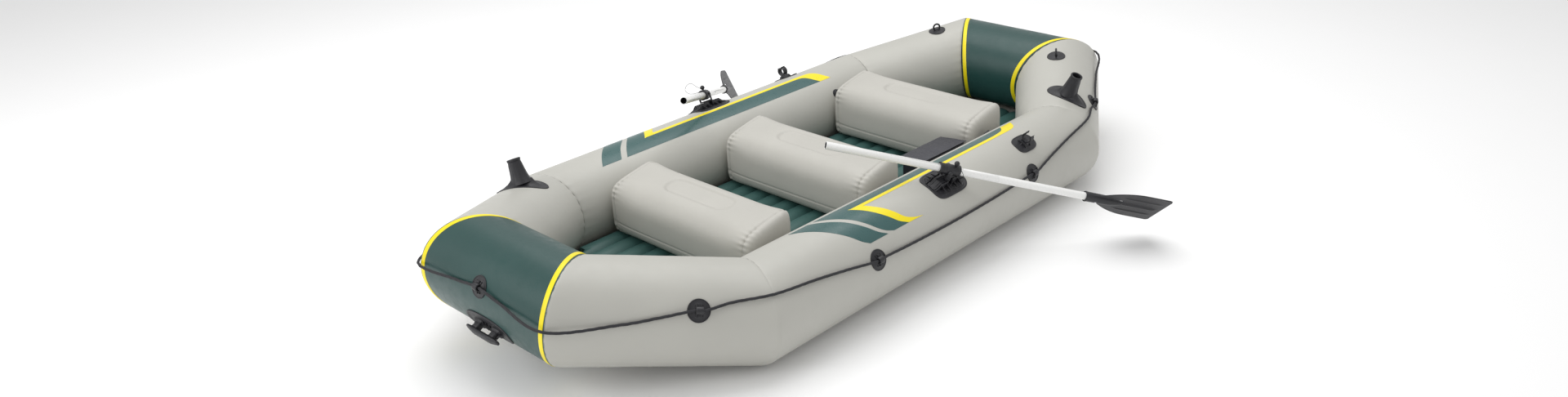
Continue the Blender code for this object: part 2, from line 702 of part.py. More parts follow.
def make_oarlock(oar):
    under, flange = cores(oar.panel_name)
    ramp = [(-0.085, -0.030), (-0.085, 0.004), (-0.035, LOCK_CHEEK_TOP), (0.035, LOCK_CHEEK_TOP),
            (0.085, 0.004), (0.085, -0.030)]
    wide = LOCK_CHEEK_HALF_WIDTH
    cheeks = moved(prism(ramp, -wide, wide), Matrix.Rotation(math.pi / 2, 4, "X"))
    hole = cylinder(POST_RADIUS + 0.001, -0.05, 0.05, 24)
    slot = box((0.020, 0.09, 0.04), (0, 0, 0.0265))
    patch = prism(oval(*LOCK_PATCH, power=4.0), -0.05, 0.02)
    piece(f"oarlock_base_{oar.side}", patch, BLACK_PLASTIC, oar.base,
          [("INTERSECT", flange), ("UNION", cheeks), ("DIFFERENCE", hole), ("DIFFERENCE", slot),
           ("DIFFERENCE", under)])

    top = LOCK_CHEEK_TOP + 0.0006
    arm_inside, arm_outside = COLLAR_RADIUS + 0.0012, COLLAR_RADIUS + 0.0065
    steps = [("UNION", box((0.018, 2 * arm_outside, 0.005), (0, 0, top + 0.0025)))]
    for way in (-1, 1):
        middle = way * (arm_inside + arm_outside) / 2
        height = COLLAR_HEIGHT + 0.009 - top
        steps.append(("UNION", box((0.017, arm_outside - arm_inside, height), (0, middle, top + height / 2))))
    hole = cylinder(TRUNNION_RADIUS + 0.0005, -0.05, 0.05, 16)
    across = Matrix.Translation((0, 0, COLLAR_HEIGHT)) @ Matrix.Rotation(math.pi / 2, 4, "X")
    steps.append(("DIFFERENCE", moved(hole, across)))
    piece(f"oarlock_yoke_{oar.side}", cylinder(POST_RADIUS, PATCH + 0.002, top + 0.002, 20), BLACK_PLASTIC,
          oar.yoke, steps)


def make_collar(oar):
    half, flange_end = COLLAR_HALF_LENGTH, -COLLAR_HALF_LENGTH + 0.006
    outside = [(COLLAR_BORE, half), (COLLAR_RADIUS, half), (COLLAR_RADIUS, flange_end),
               (COLLAR_RADIUS + 0.0015, flange_end), (COLLAR_RADIUS + 0.0015, -half), (COLLAR_BORE, -half)]
    pins = moved(cylinder(TRUNNION_RADIUS, -0.0272, 0.0272, 12), Matrix.Rotation(math.pi / 2, 4, "X"))
    bore = cylinder(COLLAR_BORE, -0.06, 0.06, SHAFT_SIDES)
    place = Matrix.Translation((0, 0, PIN_PLACE)) @ Matrix.Rotation(math.pi / 2, 4, "Y")
    pin_hole = moved(cylinder(PIN_RADIUS + 0.0006, 0.005, 0.05, 12), place)
    turned(f"oar_collar_{oar.side}", outside, BLACK_PLASTIC, oar.frame, SHAFT_SIDES, True,
           [("UNION", pins), ("DIFFERENCE", bore), ("DIFFERENCE", pin_hole)])

    knob = 0.0100
    top = COLLAR_RADIUS + 0.012 + knob
    profile = [(0, top), (0.6 * knob, top - 0.2 * knob), (knob, top - knob), (0.6 * knob, top - 1.8 * knob),
               (PIN_RADIUS + 0.0015, COLLAR_RADIUS + 0.0008), (PIN_RADIUS, COLLAR_RADIUS + 0.0008),
               (PIN_RADIUS, 0.0090), (0, 0.0080)]
    turned(f"lock_pin_{oar.side}", profile, BLACK_PLASTIC, oar.frame @ place, 12)

    route = [oar.frame @ Vector((up, oar.sign * out, along)) for up, out, along in TETHER_ROUTES[oar.side]]
    wire(f"pin_tether_{oar.side}", smooth_route(route, 2), TETHER_RADIUS, STEEL)


def make_shafts(oar):
    wall, bore = 0.0017, SHAFT_RADIUS - 0.0017
    spigot = bore - GAP - 0.0003
    handle = [(SHAFT_RADIUS, SHAFT_JOINT), (SHAFT_RADIUS, HANDLE_END), (bore, HANDLE_END),
              (bore, SHAFT_JOINT - 0.05), (spigot - wall, SHAFT_JOINT - 0.04), (spigot - wall, SPIGOT_END),
              (spigot, SPIGOT_END), (spigot, SHAFT_JOINT)]
    outer = [(SHAFT_RADIUS, SHAFT_END), (SHAFT_RADIUS, SHAFT_JOINT + GAP), (bore, SHAFT_JOINT + GAP),
             (bore, SHAFT_END)]
    pin = Matrix.Translation((0, 0, PIN_PLACE)) @ Matrix.Rotation(math.pi / 2, 4, "Y")
    pin_hole = moved(cylinder(PIN_RADIUS + 0.0006, 0.004, 0.03, 12), pin)
    inboard = Matrix.Rotation(oar.sign * math.pi / 2, 4, "X")
    button = Matrix.Translation((0, 0, BUTTON_PLACE)) @ inboard

    def button_hole():
        return moved(cylinder(BUTTON_RADIUS + 0.0005, 0.004, 0.03, 12), button)

    rivet = Matrix.Translation((0, 0, RIVET_PLACE)) @ Matrix.Rotation(math.radians(oar.sign * BLADE_ROLL[oar.side]), 4, "Z")
    across = rivet @ Matrix.Rotation(math.pi / 2, 4, "X")
    rivet_hole = moved(cylinder(0.0026, -0.03, 0.03, 8), across)
    turned(f"handle_shaft_{oar.side}", handle, WHITE_TUBE, oar.frame, SHAFT_SIDES, True,
           [("DIFFERENCE", pin_hole), ("DIFFERENCE", button_hole())])
    turned(f"blade_shaft_{oar.side}", outer, WHITE_TUBE, oar.frame, SHAFT_SIDES, True,
           [("DIFFERENCE", button_hole()), ("DIFFERENCE", rivet_hole)])
    dome = SHAFT_RADIUS + 0.0022
    turned(f"snap_button_{oar.side}", [(0, dome), (0.0028, dome - 0.0008), (BUTTON_RADIUS, dome - 0.002),
                                       (BUTTON_RADIUS, 0.0065), (0, 0.0065)], STEEL, oar.frame @ button, 12)
    head = SOCKET_RADIUS + 0.0004
    turned(f"blade_rivet_{oar.side}", [(0, head + 0.0014), (0.0030, head + 0.0010), (0.0042, head),
                                       (0.0020, head - 0.0001), (0.0020, 0.0001 - head), (0.0042, -head),
                                       (0.0030, -head - 0.0010), (0, -head - 0.0014)],
           STEEL, oar.frame @ across, 8)


def blade_half_width(share):
    """The blade's half width, share of the way from its neck to its tip."""
    return 0.016 + (BLADE_HALF_WIDTH - 0.016) * math.sin(min(1.0, share / 0.62) * math.pi / 2) ** 0.85


def make_blade(oar):
    neck, corner = SOCKET_START + 0.045, 0.012
    outline = []
    for index in range(11):
        share = index / 10 * (1 - corner / (BLADE_TIP - neck))
        outline.append((blade_half_width(share), neck + share * (BLADE_TIP - neck)))
    outline.append((BLADE_HALF_WIDTH - 0.3 * corner, BLADE_TIP - 0.3 * corner))
    outline.append((BLADE_HALF_WIDTH - corner, BLADE_TIP))
    whole = outline + [(-x, z) for x, z in reversed(outline)]
    stand = Matrix.Rotation(math.pi / 2, 4, "X")
    half = BLADE_THICKNESS / 2
    plate = moved(prism(whole, -half, half), stand)
    frame = oar.frame @ Matrix.Rotation(math.radians(oar.sign * BLADE_ROLL[oar.side]), 4, "Z")
    socket = cylinder(SOCKET_RADIUS, SOCKET_START, SHAFT_END + 0.006, SHAFT_SIDES)
    nose = cylinder(SOCKET_RADIUS, SHAFT_END + 0.006 - GAP, SHAFT_END + 0.075, SHAFT_SIDES, 0.004)
    steps = [("UNION", socket), ("UNION", nose)]
    for place in (-0.048, 0.048):
        rib = box((0.006, BLADE_THICKNESS + 0.006, 0.19), (place, 0, BLADE_TIP - 0.115))
        steps.append(("UNION", rib))
    spine = box((0.008, BLADE_THICKNESS + 0.010, 0.235), (0, 0, BLADE_TIP - 0.135))
    slot = box((0.010, 0.05, 0.052), (0.0185, 0, neck + 0.085))
    bore = cylinder(SHAFT_RADIUS + GAP + 0.0002, SOCKET_START - 0.02, SHAFT_END + 0.0008, SHAFT_SIDES)
    rivet = moved(cylinder(0.0026, -0.03, 0.03, 8), Matrix.Translation((0, 0, RIVET_PLACE)) @ stand)
    steps += [("UNION", spine), ("DIFFERENCE", slot), ("DIFFERENCE", bore), ("DIFFERENCE", rivet)]
    piece(f"oar_blade_{oar.side}", plate, BLACK_PLASTIC, frame, steps)


# ---- Pouch and valves ----
def make_pouch():
    """An open-topped vinyl pocket and the lid that folds over it."""
    (low_x, high_x), (low_y, high_y) = POUCH_X, POUCH_Y
    inner_top, outer_top = POUCH_TOP
    bottom = FLOOR_TOP + GAP
    width, depth = high_y - low_y, high_x - low_x
    side_view = [(low_x + 0.012, bottom), (high_x, bottom), (high_x, outer_top - 0.004), (low_x, inner_top - 0.004)]
    turn = Matrix(((1, 0, 0, 0), (0, 0, 1, 0), (0, 1, 0, 0), (0, 0, 0, 1)))
    body = moved(prism(side_view, low_y, high_y), turn)
    bmesh.ops.recalc_face_normals(body, faces=body.faces)
    hollow = box((depth - 2 * POUCH_WALL - 0.014, width - 2 * POUCH_WALL, 0.4),
                 ((low_x + high_x + 0.012) / 2, (low_y + high_y) / 2, bottom + POUCH_WALL + 0.2))
    piece("pouch_body", body, BLACK_VINYL, None, [("DIFFERENCE", hollow)])

    slope = (outer_top - inner_top) / (high_x - low_x)
    edge = low_x - LID_OVERHANG
    edge_z = inner_top - slope * LID_OVERHANG
    lid_view = [(high_x + 0.002, outer_top), (high_x + 0.002, outer_top + POUCH_WALL), (edge, edge_z + POUCH_WALL),
                (edge - 0.006, edge_z - LID_LIP), (edge - 0.004, edge_z - LID_LIP), (edge + 0.002, edge_z)]
    lid = moved(prism(lid_view, low_y - 0.005, high_y + 0.005), turn)
    bmesh.ops.recalc_face_normals(lid, faces=lid.faces)
    piece("pouch_lid", lid, BLACK_VINYL)


def valve_profile():
    """A valve body turned about Z: a thin flange on the skin and a threaded neck with an air way."""
    bore = VALVE_NECK_RADIUS - 0.0035
    return [(VALVE_NECK_RADIUS, VALVE_NECK_TOP), (VALVE_NECK_RADIUS, 0.0025), (VALVE_FLANGE_RADIUS, 0.0018),
            (VALVE_FLANGE_RADIUS, -0.0040), (bore, -0.0040), (bore, VALVE_NECK_TOP)]


def cap_profile():
    """A screw cap over the neck: a skirt and a closed top."""
    inside = VALVE_NECK_RADIUS + 0.0005
    low = 0.0032
    return [(0, low + CAP_HEIGHT), (CAP_RADIUS - 0.0012, low + CAP_HEIGHT), (CAP_RADIUS, low + CAP_HEIGHT - 0.0012),
            (CAP_RADIUS, low), (inside, low), (inside, VALVE_NECK_TOP + GAP), (0, VALVE_NECK_TOP + GAP)]


def make_valves():
    station, angle = VALVE_SPOT
    for side in SIDES:
        panel = panel_at("side", side)
        under, _ = cores(panel)
        frame = PANELS[panel].frame(station, angle)
        turned(f"hull_valve_{side}", valve_profile(), BLACK_PLASTIC, frame, 16, True, [("DIFFERENCE", under)])
        turned(f"hull_valve_cap_{side}", cap_profile(), BLACK_PLASTIC, frame, 16)
    x, y = FLOOR_VALVE
    lifted = [(radius, max(z, GAP)) for radius, z in valve_profile()]
    turned("floor_valve", lifted, CLEAR_VINYL, Matrix.Translation((x, y, FLOOR_TOP)), 16, True)


make_hull()
make_bottom_sheet()
make_floor()
for seat in SEATS:
    make_seat(*seat)
make_guides()
make_grab_line()
make_tie_down_rings()
make_rod_holders()
make_oar_clips()
make_tow_handle()
for side in SIDES:
    oar = Oar(side)
    make_oarlock(oar)
    make_collar(oar)
    make_shafts(oar)
    make_blade(oar)
make_pouch()
make_valves()
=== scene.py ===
"""Looks of the inflatable rowing boat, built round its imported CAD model.

Metres, +Z up, as in the CAD: the bow points along -Y, port is +X and starboard is -X.
"""

import math

import bmesh
import bpy
import numpy as np
from mathutils import Matrix, Vector


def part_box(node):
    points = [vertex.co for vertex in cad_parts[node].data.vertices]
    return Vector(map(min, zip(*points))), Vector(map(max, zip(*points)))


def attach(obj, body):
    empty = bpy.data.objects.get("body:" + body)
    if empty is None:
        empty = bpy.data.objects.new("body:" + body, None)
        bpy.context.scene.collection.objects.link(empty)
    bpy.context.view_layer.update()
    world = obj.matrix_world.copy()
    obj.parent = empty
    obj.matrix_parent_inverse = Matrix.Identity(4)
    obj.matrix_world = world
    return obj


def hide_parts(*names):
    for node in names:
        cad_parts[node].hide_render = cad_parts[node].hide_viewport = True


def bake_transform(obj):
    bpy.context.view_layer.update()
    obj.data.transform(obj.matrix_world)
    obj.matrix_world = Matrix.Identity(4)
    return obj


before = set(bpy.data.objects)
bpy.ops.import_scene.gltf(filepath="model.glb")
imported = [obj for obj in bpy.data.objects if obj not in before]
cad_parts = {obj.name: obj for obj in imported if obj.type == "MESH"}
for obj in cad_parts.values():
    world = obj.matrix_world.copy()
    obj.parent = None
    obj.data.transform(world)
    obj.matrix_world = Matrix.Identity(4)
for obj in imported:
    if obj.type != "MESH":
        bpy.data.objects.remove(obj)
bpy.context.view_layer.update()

# ---- Dimensions repeated from the CAD ----
SIDE_RADIUS, BOW_RADIUS, STERN_RADIUS = 0.176, 0.177, 0.1885
SIDE_AXIS_X = 0.564
SIDE_AXIS_Z = 0.1773
BOW_CORNER = (0.249, -1.423, 0.28)
BOW_KNUCKLE_Y = -0.939
STERN_KNUCKLE_Y = 0.917
STERN_CORNER = (0.255, 1.411, 0.277)
HULL_SIDES = 32  # sides of the CAD tubes

FLOOR_TOP = 0.108
FLOOR_HALF_WIDTH = 0.394
FLOOR_FRONT, FLOOR_BACK = -1.365, 1.312
SHEET_THICKNESS = 0.001
SHEET_FRONT_FOLD, SHEET_BACK_FOLD = -0.961, 0.935
SHEET_FRONT_SLOPE = math.tan(math.radians(11.9))
SHEET_BACK_SLOPE = math.tan(math.radians(10.0))
SEAT_HALF_LENGTH = 0.384
SEATS = (("seat_front", -0.655, 0.336, 0.13), ("seat_middle", -0.04, 0.344, 0.128),
         ("seat_rear", 0.655, 0.358, 0.132))  # name, middle y, top z, half depth

ROPE_RADIUS = 0.005
ROPE_AT_GUIDE = 0.0112
ROPE_STEP = 0.13
ROPE_SAG = 3.5  # degrees, halfway between the side guides
# Angle of the rope where it crosses a panel's stern end
ROPE_AT_SEAM = {"bow": 13.0, "bow_quarter": 46.0, "side": 47.0, "stern_quarter": 26.0}
GUIDE_RADIUS = 0.0375
GUIDE_BRIDGE_RADIUS = 0.0125
GUIDE_BRIDGE_LENGTH = 0.022
GUIDE_SPOTS = (  # label, part of the hull, station along it, angle round it
    ("bow_centre", "bow", 0.0, 22.0), ("bow_quarter", "bow_quarter", -1.117, 29.0),
    ("side_front", "side", -0.492, 21.0), ("side_rear", "side", 0.464, 20.0),
    ("stern_quarter", "stern_quarter", 1.075, 34.0), ("stern_centre", "stern", 0.0, 26.0),
)
RING_SPOT = (1.295, 94.0)
ROD_SPOTS = (("rod_holder_stern", "port", "stern_quarter", 1.017, 78.0, -32.0),
             ("rod_holder_bow", "starboard", "bow_quarter", -1.091, 86.0, 25.0))
ROD_LEAN = math.radians(22.0)
CLIP_SPOT = (0.515, 60.0)
TOW_SPOT = (0.015, -26.0)
LOCK_SPOT = (0.005, 66.0)
COLLAR_HEIGHT = 0.056
OAR_DIRECTION = (0.586, 0.755, -0.294)  # port oar; the starboard oar mirrors it
SHAFT_RADIUS = 0.0145
HANDLE_END, SHAFT_JOINT, SPIGOT_END, SHAFT_END = -0.48, 0.195, 0.275, 0.64
SOCKET_START, BLADE_TIP, BLADE_HALF_WIDTH = 0.555, 0.88, 0.095
SOCKET_RADIUS = 0.019
BLADE_ROLL = {"port": 25.0, "starboard": 8.0}  # degrees round the shaft
PIN_PLACE, BUTTON_PLACE, RIVET_PLACE = 0.018, 0.22, 0.6
TETHER_RADIUS = 0.0009
TETHER_ROUTES = {  # (up, outboard, along) from the collar's centre, in millimetres
    "port": (
        (33, 10.4, 18), (36, 30, 24), (24, 52, 36), (-10, 61, 40),
        (-30, 61, 26), (-31, 54, 10), (-26.5, 42, 14), (-19, 31, 24),
        (-11.2, 19.4, 31),
    ),
    "starboard": (
        (33, 10.8, 18), (46, 24, 19), (66, 41, 17), (64, 62, 14),
        (45, 75, 12), (27, 64, 15), (20, 46, 22), (19, 32, 28),
        (15.8, 16, 31),
    ),
}
POUCH_X, POUCH_Y, POUCH_TOP = (0.262, 0.384), (0.225, 0.495), (0.262, 0.276)
VALVE_SPOT = (0.61, 146.0)
FLOOR_VALVE = (0.19, 1.13)
SIDES = {"port": 1, "starboard": -1}


# ---- Camera ----
CAMERA_PLACE, CAMERA_TARGET = Vector((3.008, -3.275, 2.133)), Vector((-0.058, -0.131, 0.188))
CAMERA_ROLL = math.radians(-2.26)
CAMERA_LENS, CAMERA_SENSOR, CAMERA_SHIFT = 27.23, 36.0, -0.0107


def make_camera():
    forward = (CAMERA_TARGET - CAMERA_PLACE).normalized()
    right = forward.cross(Vector((0, 0, 1))).normalized()
    up = right.cross(forward)
    tilted_right = right * math.cos(CAMERA_ROLL) + up * math.sin(CAMERA_ROLL)
    tilted_up = up * math.cos(CAMERA_ROLL) - right * math.sin(CAMERA_ROLL)
    data = bpy.data.cameras.new("camera")
    data.lens, data.sensor_width, data.shift_y = CAMERA_LENS, CAMERA_SENSOR, CAMERA_SHIFT
    camera = bpy.data.objects.new("camera", data)
    bpy.context.scene.collection.objects.link(camera)
    camera.matrix_world = Matrix.Translation(CAMERA_PLACE) @ Matrix(
        (tilted_right, tilted_up, -forward)).transposed().to_4x4()
    bpy.context.scene.camera = camera


make_camera()


# ---- Frames and the hull's geometry ----
def unit(vector):
    vector = np.asarray(vector, float)
    return vector / np.linalg.norm(vector)


def framed(x, y, z, origin):
    matrix = np.eye(4)
    matrix[:3, 0], matrix[:3, 1], matrix[:3, 2], matrix[:3, 3] = unit(x), unit(y), unit(z), origin
    return matrix


def mm(points):
    """Points that are given in millimetres."""
    return np.asarray(points, float) / 1000


def placed(points, matrix):
    return np.asarray(points, float) @ matrix[:3, :3].T + matrix[:3, 3]


def turn_about(axis, degrees):
    return np.array(Matrix.Rotation(math.radians(degrees), 4, axis))


def shifted(x=0.0, y=0.0, z=0.0):
    return np.array(Matrix.Translation((x, y, z)))


def smoothstep(low, high, value):
    share = np.clip((value - low) / (high - low), 0.0, 1.0)
    return share * share * (3 - 2 * share)


class Panel:
    """One straight length of the hull tube, going counter-clockwise round the boat from above."""

    def __init__(self, start, end, start_radius, end_radius):
        self.start, self.end = np.array(start, float), np.array(end, float)
        self.radii = (start_radius, end_radius)
        self.length = float(np.linalg.norm(self.end - self.start))
        self.along = unit(self.end - self.start)
        self.out = unit(np.cross(self.along, (0, 0, 1)))
        self.up = np.cross(self.out, self.along)
        self.mitres = [None, None]

    def radius(self, distance):
        return self.radii[0] + (self.radii[1] - self.radii[0]) * distance / self.length

    def normal(self, angle):
        """Outward directions at angles in degrees, turning up from the outboard side."""
        turn = np.radians(angle)
        return np.multiply.outer(np.cos(turn), self.out) + np.multiply.outer(np.sin(turn), self.up)

    def distance(self, station):
        axis = 0 if abs(self.along[0]) > 0.9 else 1
        return (station - self.start[axis]) / self.along[axis]

    def surface(self, distance, angle, lift=0.0):
        distance, angle, lift = np.broadcast_arrays(*(np.asarray(v, float) for v in (distance, angle, lift)))
        reach = (self.radius(distance) + lift)[..., None] * self.normal(angle)
        return self.start + distance[..., None] * self.along + reach

    def frame(self, station, angle):
        """X along the tube, Y round it, Z out of it, with the origin on its surface."""
        distance, out = self.distance(station), self.normal(angle)
        return framed(self.along, np.cross(out, self.along), out, self.surface(distance, angle))

    def end_distance(self, end, angle, lift=0.0):
        """Distance along the axis at which the line at an angle meets the mitre plane at end 0 or 1."""
        reach = (self.radii[end] + lift) * self.normal(angle)
        slide = -(reach @ self.mitres[end]) / (self.along @ self.mitres[end])
        return (0.0, self.length)[end] + slide


def hull_panels():
    bow, stern = BOW_CORNER, STERN_CORNER
    front, back = (SIDE_AXIS_X, BOW_KNUCKLE_Y, SIDE_AXIS_Z), (SIDE_AXIS_X, STERN_KNUCKLE_Y, SIDE_AXIS_Z)
    radius = {bow: BOW_RADIUS, front: SIDE_RADIUS, back: SIDE_RADIUS, stern: STERN_RADIUS}
    corners = [(bow, -1), (bow, 1), (front, 1), (back, 1), (stern, 1), (stern, -1), (back, -1), (front, -1)]
    names = ("bow_tube", "bow_quarter_port", "side_tube_port", "stern_quarter_port",
             "stern_tube", "stern_quarter_starboard", "side_tube_starboard", "bow_quarter_starboard")
    panels = {}
    for name, (first, first_side), (second, second_side) in zip(names, corners, corners[1:] + corners[:1]):
        panels[name] = Panel((first[0] * first_side, *first[1:]), (second[0] * second_side, *second[1:]),
                             radius[first], radius[second])
    around = list(panels.values())
    for before, after in zip(around, around[1:] + around[:1]):
        before.mitres[1] = after.mitres[0] = unit(before.along + after.along)
    return panels


PANELS = hull_panels()


def panel_at(place, side=""):
    if place in ("bow", "stern"):
        return f"{place}_tube"
    return f"{place}_tube_{side}" if place == "side" else f"{place}_{side}"


def inner_half_width(y, z):
    """Half the width that the hull leaves free at (y, z), inside it."""
    for name in ("bow_quarter_port", "side_tube_port", "stern_quarter_port"):
        panel = PANELS[name]
        if panel.start[1] <= y <= panel.end[1]:
            distance = panel.distance(y)
            axis = panel.start + panel.along * distance
            fall = (axis[2] - z) / panel.up[2]
            return axis[0] - math.sqrt(max(panel.radius(distance) ** 2 - fall ** 2, 0.0)) / panel.out[0]
    return 0.0


def sheet_height(y):
    """Height of the bottom sheet's underside: flat, then rising to the bow and to the stern."""
    return np.maximum(0.0, np.maximum((SHEET_FRONT_FOLD - y) * SHEET_FRONT_SLOPE,
                                      (y - SHEET_BACK_FOLD) * SHEET_BACK_SLOPE))


def smooth_route(route, per_span):
    """Points on a Catmull-Rom curve through the route's own points."""
    route = np.array(route, float)
    ends = [2 * route[0] - route[1], *route, 2 * route[-1] - route[-2]]
    points = []
    for a, b, c, d in zip(ends, ends[1:], ends[2:], ends[3:]):
        for t in np.arange(per_span) / per_span:
            points.append(0.5 * (2 * b + (c - a) * t + (2 * a - 5 * b + 4 * c - d) * t * t
                                 + (3 * b - a - 3 * c + d) * t ** 3))
    return np.array(points + [route[-1]])


def steps_along(points):
    """Distance of each point along the line through them."""
    return np.concatenate([[0.0], np.cumsum(np.linalg.norm(np.diff(points, axis=0), axis=1))])


def path_length(points):
    return float(steps_along(points)[-1])


def spaced(points, count, loop=False):
    """Points at even steps along the line through the given ones; loop leaves out the last."""
    steps = steps_along(points)
    wanted = np.linspace(0, steps[-1], count)[:-1 if loop else None]
    return np.column_stack([np.interp(wanted, steps, line) for line in np.asarray(points).T])


# ---- Materials ----
def linear(red, green, blue):
    """Scene-linear colour of a screen colour in 0 to 255."""
    parts = np.array((red, green, blue)) / 255.0
    bent = np.where(parts <= 0.04045, parts / 12.92, ((parts + 0.055) / 1.055) ** 2.4)
    return tuple(float(c) for c in bent)


def finish(name, colour, roughness, spread, mottle, grain, grain_depth, dents=0.0, dent_depth=0.0,
           metallic=0.0, coat=0.0, transmission=0.0, cells=False):
    """A procedural material: mottled colour, uneven gloss, a fine grain and, where asked, shallow dents."""
    made = bpy.data.materials.new(name)
    made.use_nodes = True
    tree = made.node_tree

    def node(kind, inputs, output):
        """Adds a node whose inputs are values or other nodes' outputs."""
        added = tree.nodes.new(f"ShaderNode{kind}")
        for key, value in inputs.items():
            if isinstance(value, bpy.types.NodeSocket):
                tree.links.new(value, added.inputs[key])
            else:
                added.inputs[key].default_value = value
        return added.outputs[output]

    place = tree.nodes.new("ShaderNodeTexCoord").outputs["Object"]

    def noise(scale, detail):
        return node("TexNoise", {"Scale": scale, "Detail": detail, "Vector": place}, "Fac")

    ramp = tree.nodes.new("ShaderNodeValToRGB")
    for stop, position, share in zip(ramp.color_ramp.elements, (0.3, 0.7), (1 - spread, 1 + spread)):
        stop.position, stop.color = position, (*(min(1.0, c * share) for c in colour), 1.0)
    tree.links.new(noise(mottle, 4.0), ramp.inputs["Fac"])
    gloss = node("MapRange", {"From Min": 0.3, "From Max": 0.7, "To Min": roughness - 0.06,
                              "To Max": roughness + 0.06, "Value": noise(mottle * 9, 3.0)}, "Result")
    fine = node("TexVoronoi", {"Scale": grain, "Vector": place}, "Distance") if cells else noise(grain, 1.0)
    bump = {"Distance": grain_depth, "Height": fine}
    if dent_depth:
        bump["Normal"] = node("Bump", {"Distance": dent_depth, "Height": noise(dents, 3.0)}, "Normal")
    shader = tree.nodes["Principled BSDF"]
    for key, value in (("Metallic", metallic), ("Coat Weight", coat), ("Coat Roughness", 0.25),
                       ("Transmission Weight", transmission)):
        shader.inputs[key].default_value = value
    for key, source in (("Base Color", ramp.outputs["Color"]), ("Roughness", gloss),
                        ("Normal", node("Bump", bump, "Normal"))):
        tree.links.new(source, shader.inputs[key])
    return made


GREY = finish("grey_vinyl", linear(181, 180, 173), 0.44, 0.03, 3.0, 900, 0.00008, 9.0, 0.0012, cells=True)
SEAT_GREY = finish("seat_vinyl", linear(183, 181, 174), 0.48, 0.03, 5.0, 900, 0.0001, 16.0, 0.0012,
                   cells=True)
GREEN = finish("green_vinyl", linear(34, 69, 66), 0.36, 0.05, 4.0, 900, 0.00008, 9.0, 0.0012, cells=True)
FLOOR_GREEN = finish("floor_vinyl", linear(60, 96, 92), 0.46, 0.06, 6.0, 800, 0.00012, 12.0, 0.0014,
                     cells=True)
PRINT_GREEN = finish("print_green", linear(54, 90, 89), 0.3, 0.05, 5.0, 1100, 0.00006)
PRINT_YELLOW = finish("print_yellow", linear(243, 222, 10), 0.32, 0.03, 5.0, 1100, 0.00006)
PIPING = finish("yellow_piping", linear(243, 222, 10), 0.4, 0.05, 9.0, 1200, 0.0001)
PLASTIC = finish("black_plastic", linear(34, 34, 38), 0.44, 0.14, 22.0, 1600, 0.00012, 60.0, 0.0004)
LID = finish("black_vinyl", linear(43, 44, 53), 0.4, 0.1, 9.0, 900, 0.00012, 20.0, 0.002, cells=True)
TUBE_WHITE = finish("white_coating", linear(238, 238, 236), 0.3, 0.012, 12.0, 2200, 0.00003, coat=0.25)
# Painted shade: the handle's bore is bare metal, but it is coloured dark to stand in for the shade inside the
# open end. The disc that uses it is painted shade only.
BORE_PAINTED_SHADE = finish("bore_painted_shade", linear(74, 74, 76), 0.55, 0.12, 14.0, 1500, 0.00006, metallic=0.6)
STEEL = finish("steel", linear(196, 197, 200), 0.26, 0.05, 30.0, 2600, 0.00004, metallic=1.0)
CORD = finish("black_cord", linear(38, 38, 42), 0.72, 0.22, 60.0, 1500, 0.00025)
WIRE = finish("tether_cord", linear(24, 24, 26), 0.5, 0.15, 90.0, 2200, 0.00008)
CLEAR = finish("clear_vinyl", linear(206, 212, 210), 0.18, 0.04, 14.0, 1500, 0.00006, transmission=0.55)


# ---- Meshes ----
def ring_at(outline, z):
    return np.column_stack([outline, np.full(len(outline), z)])


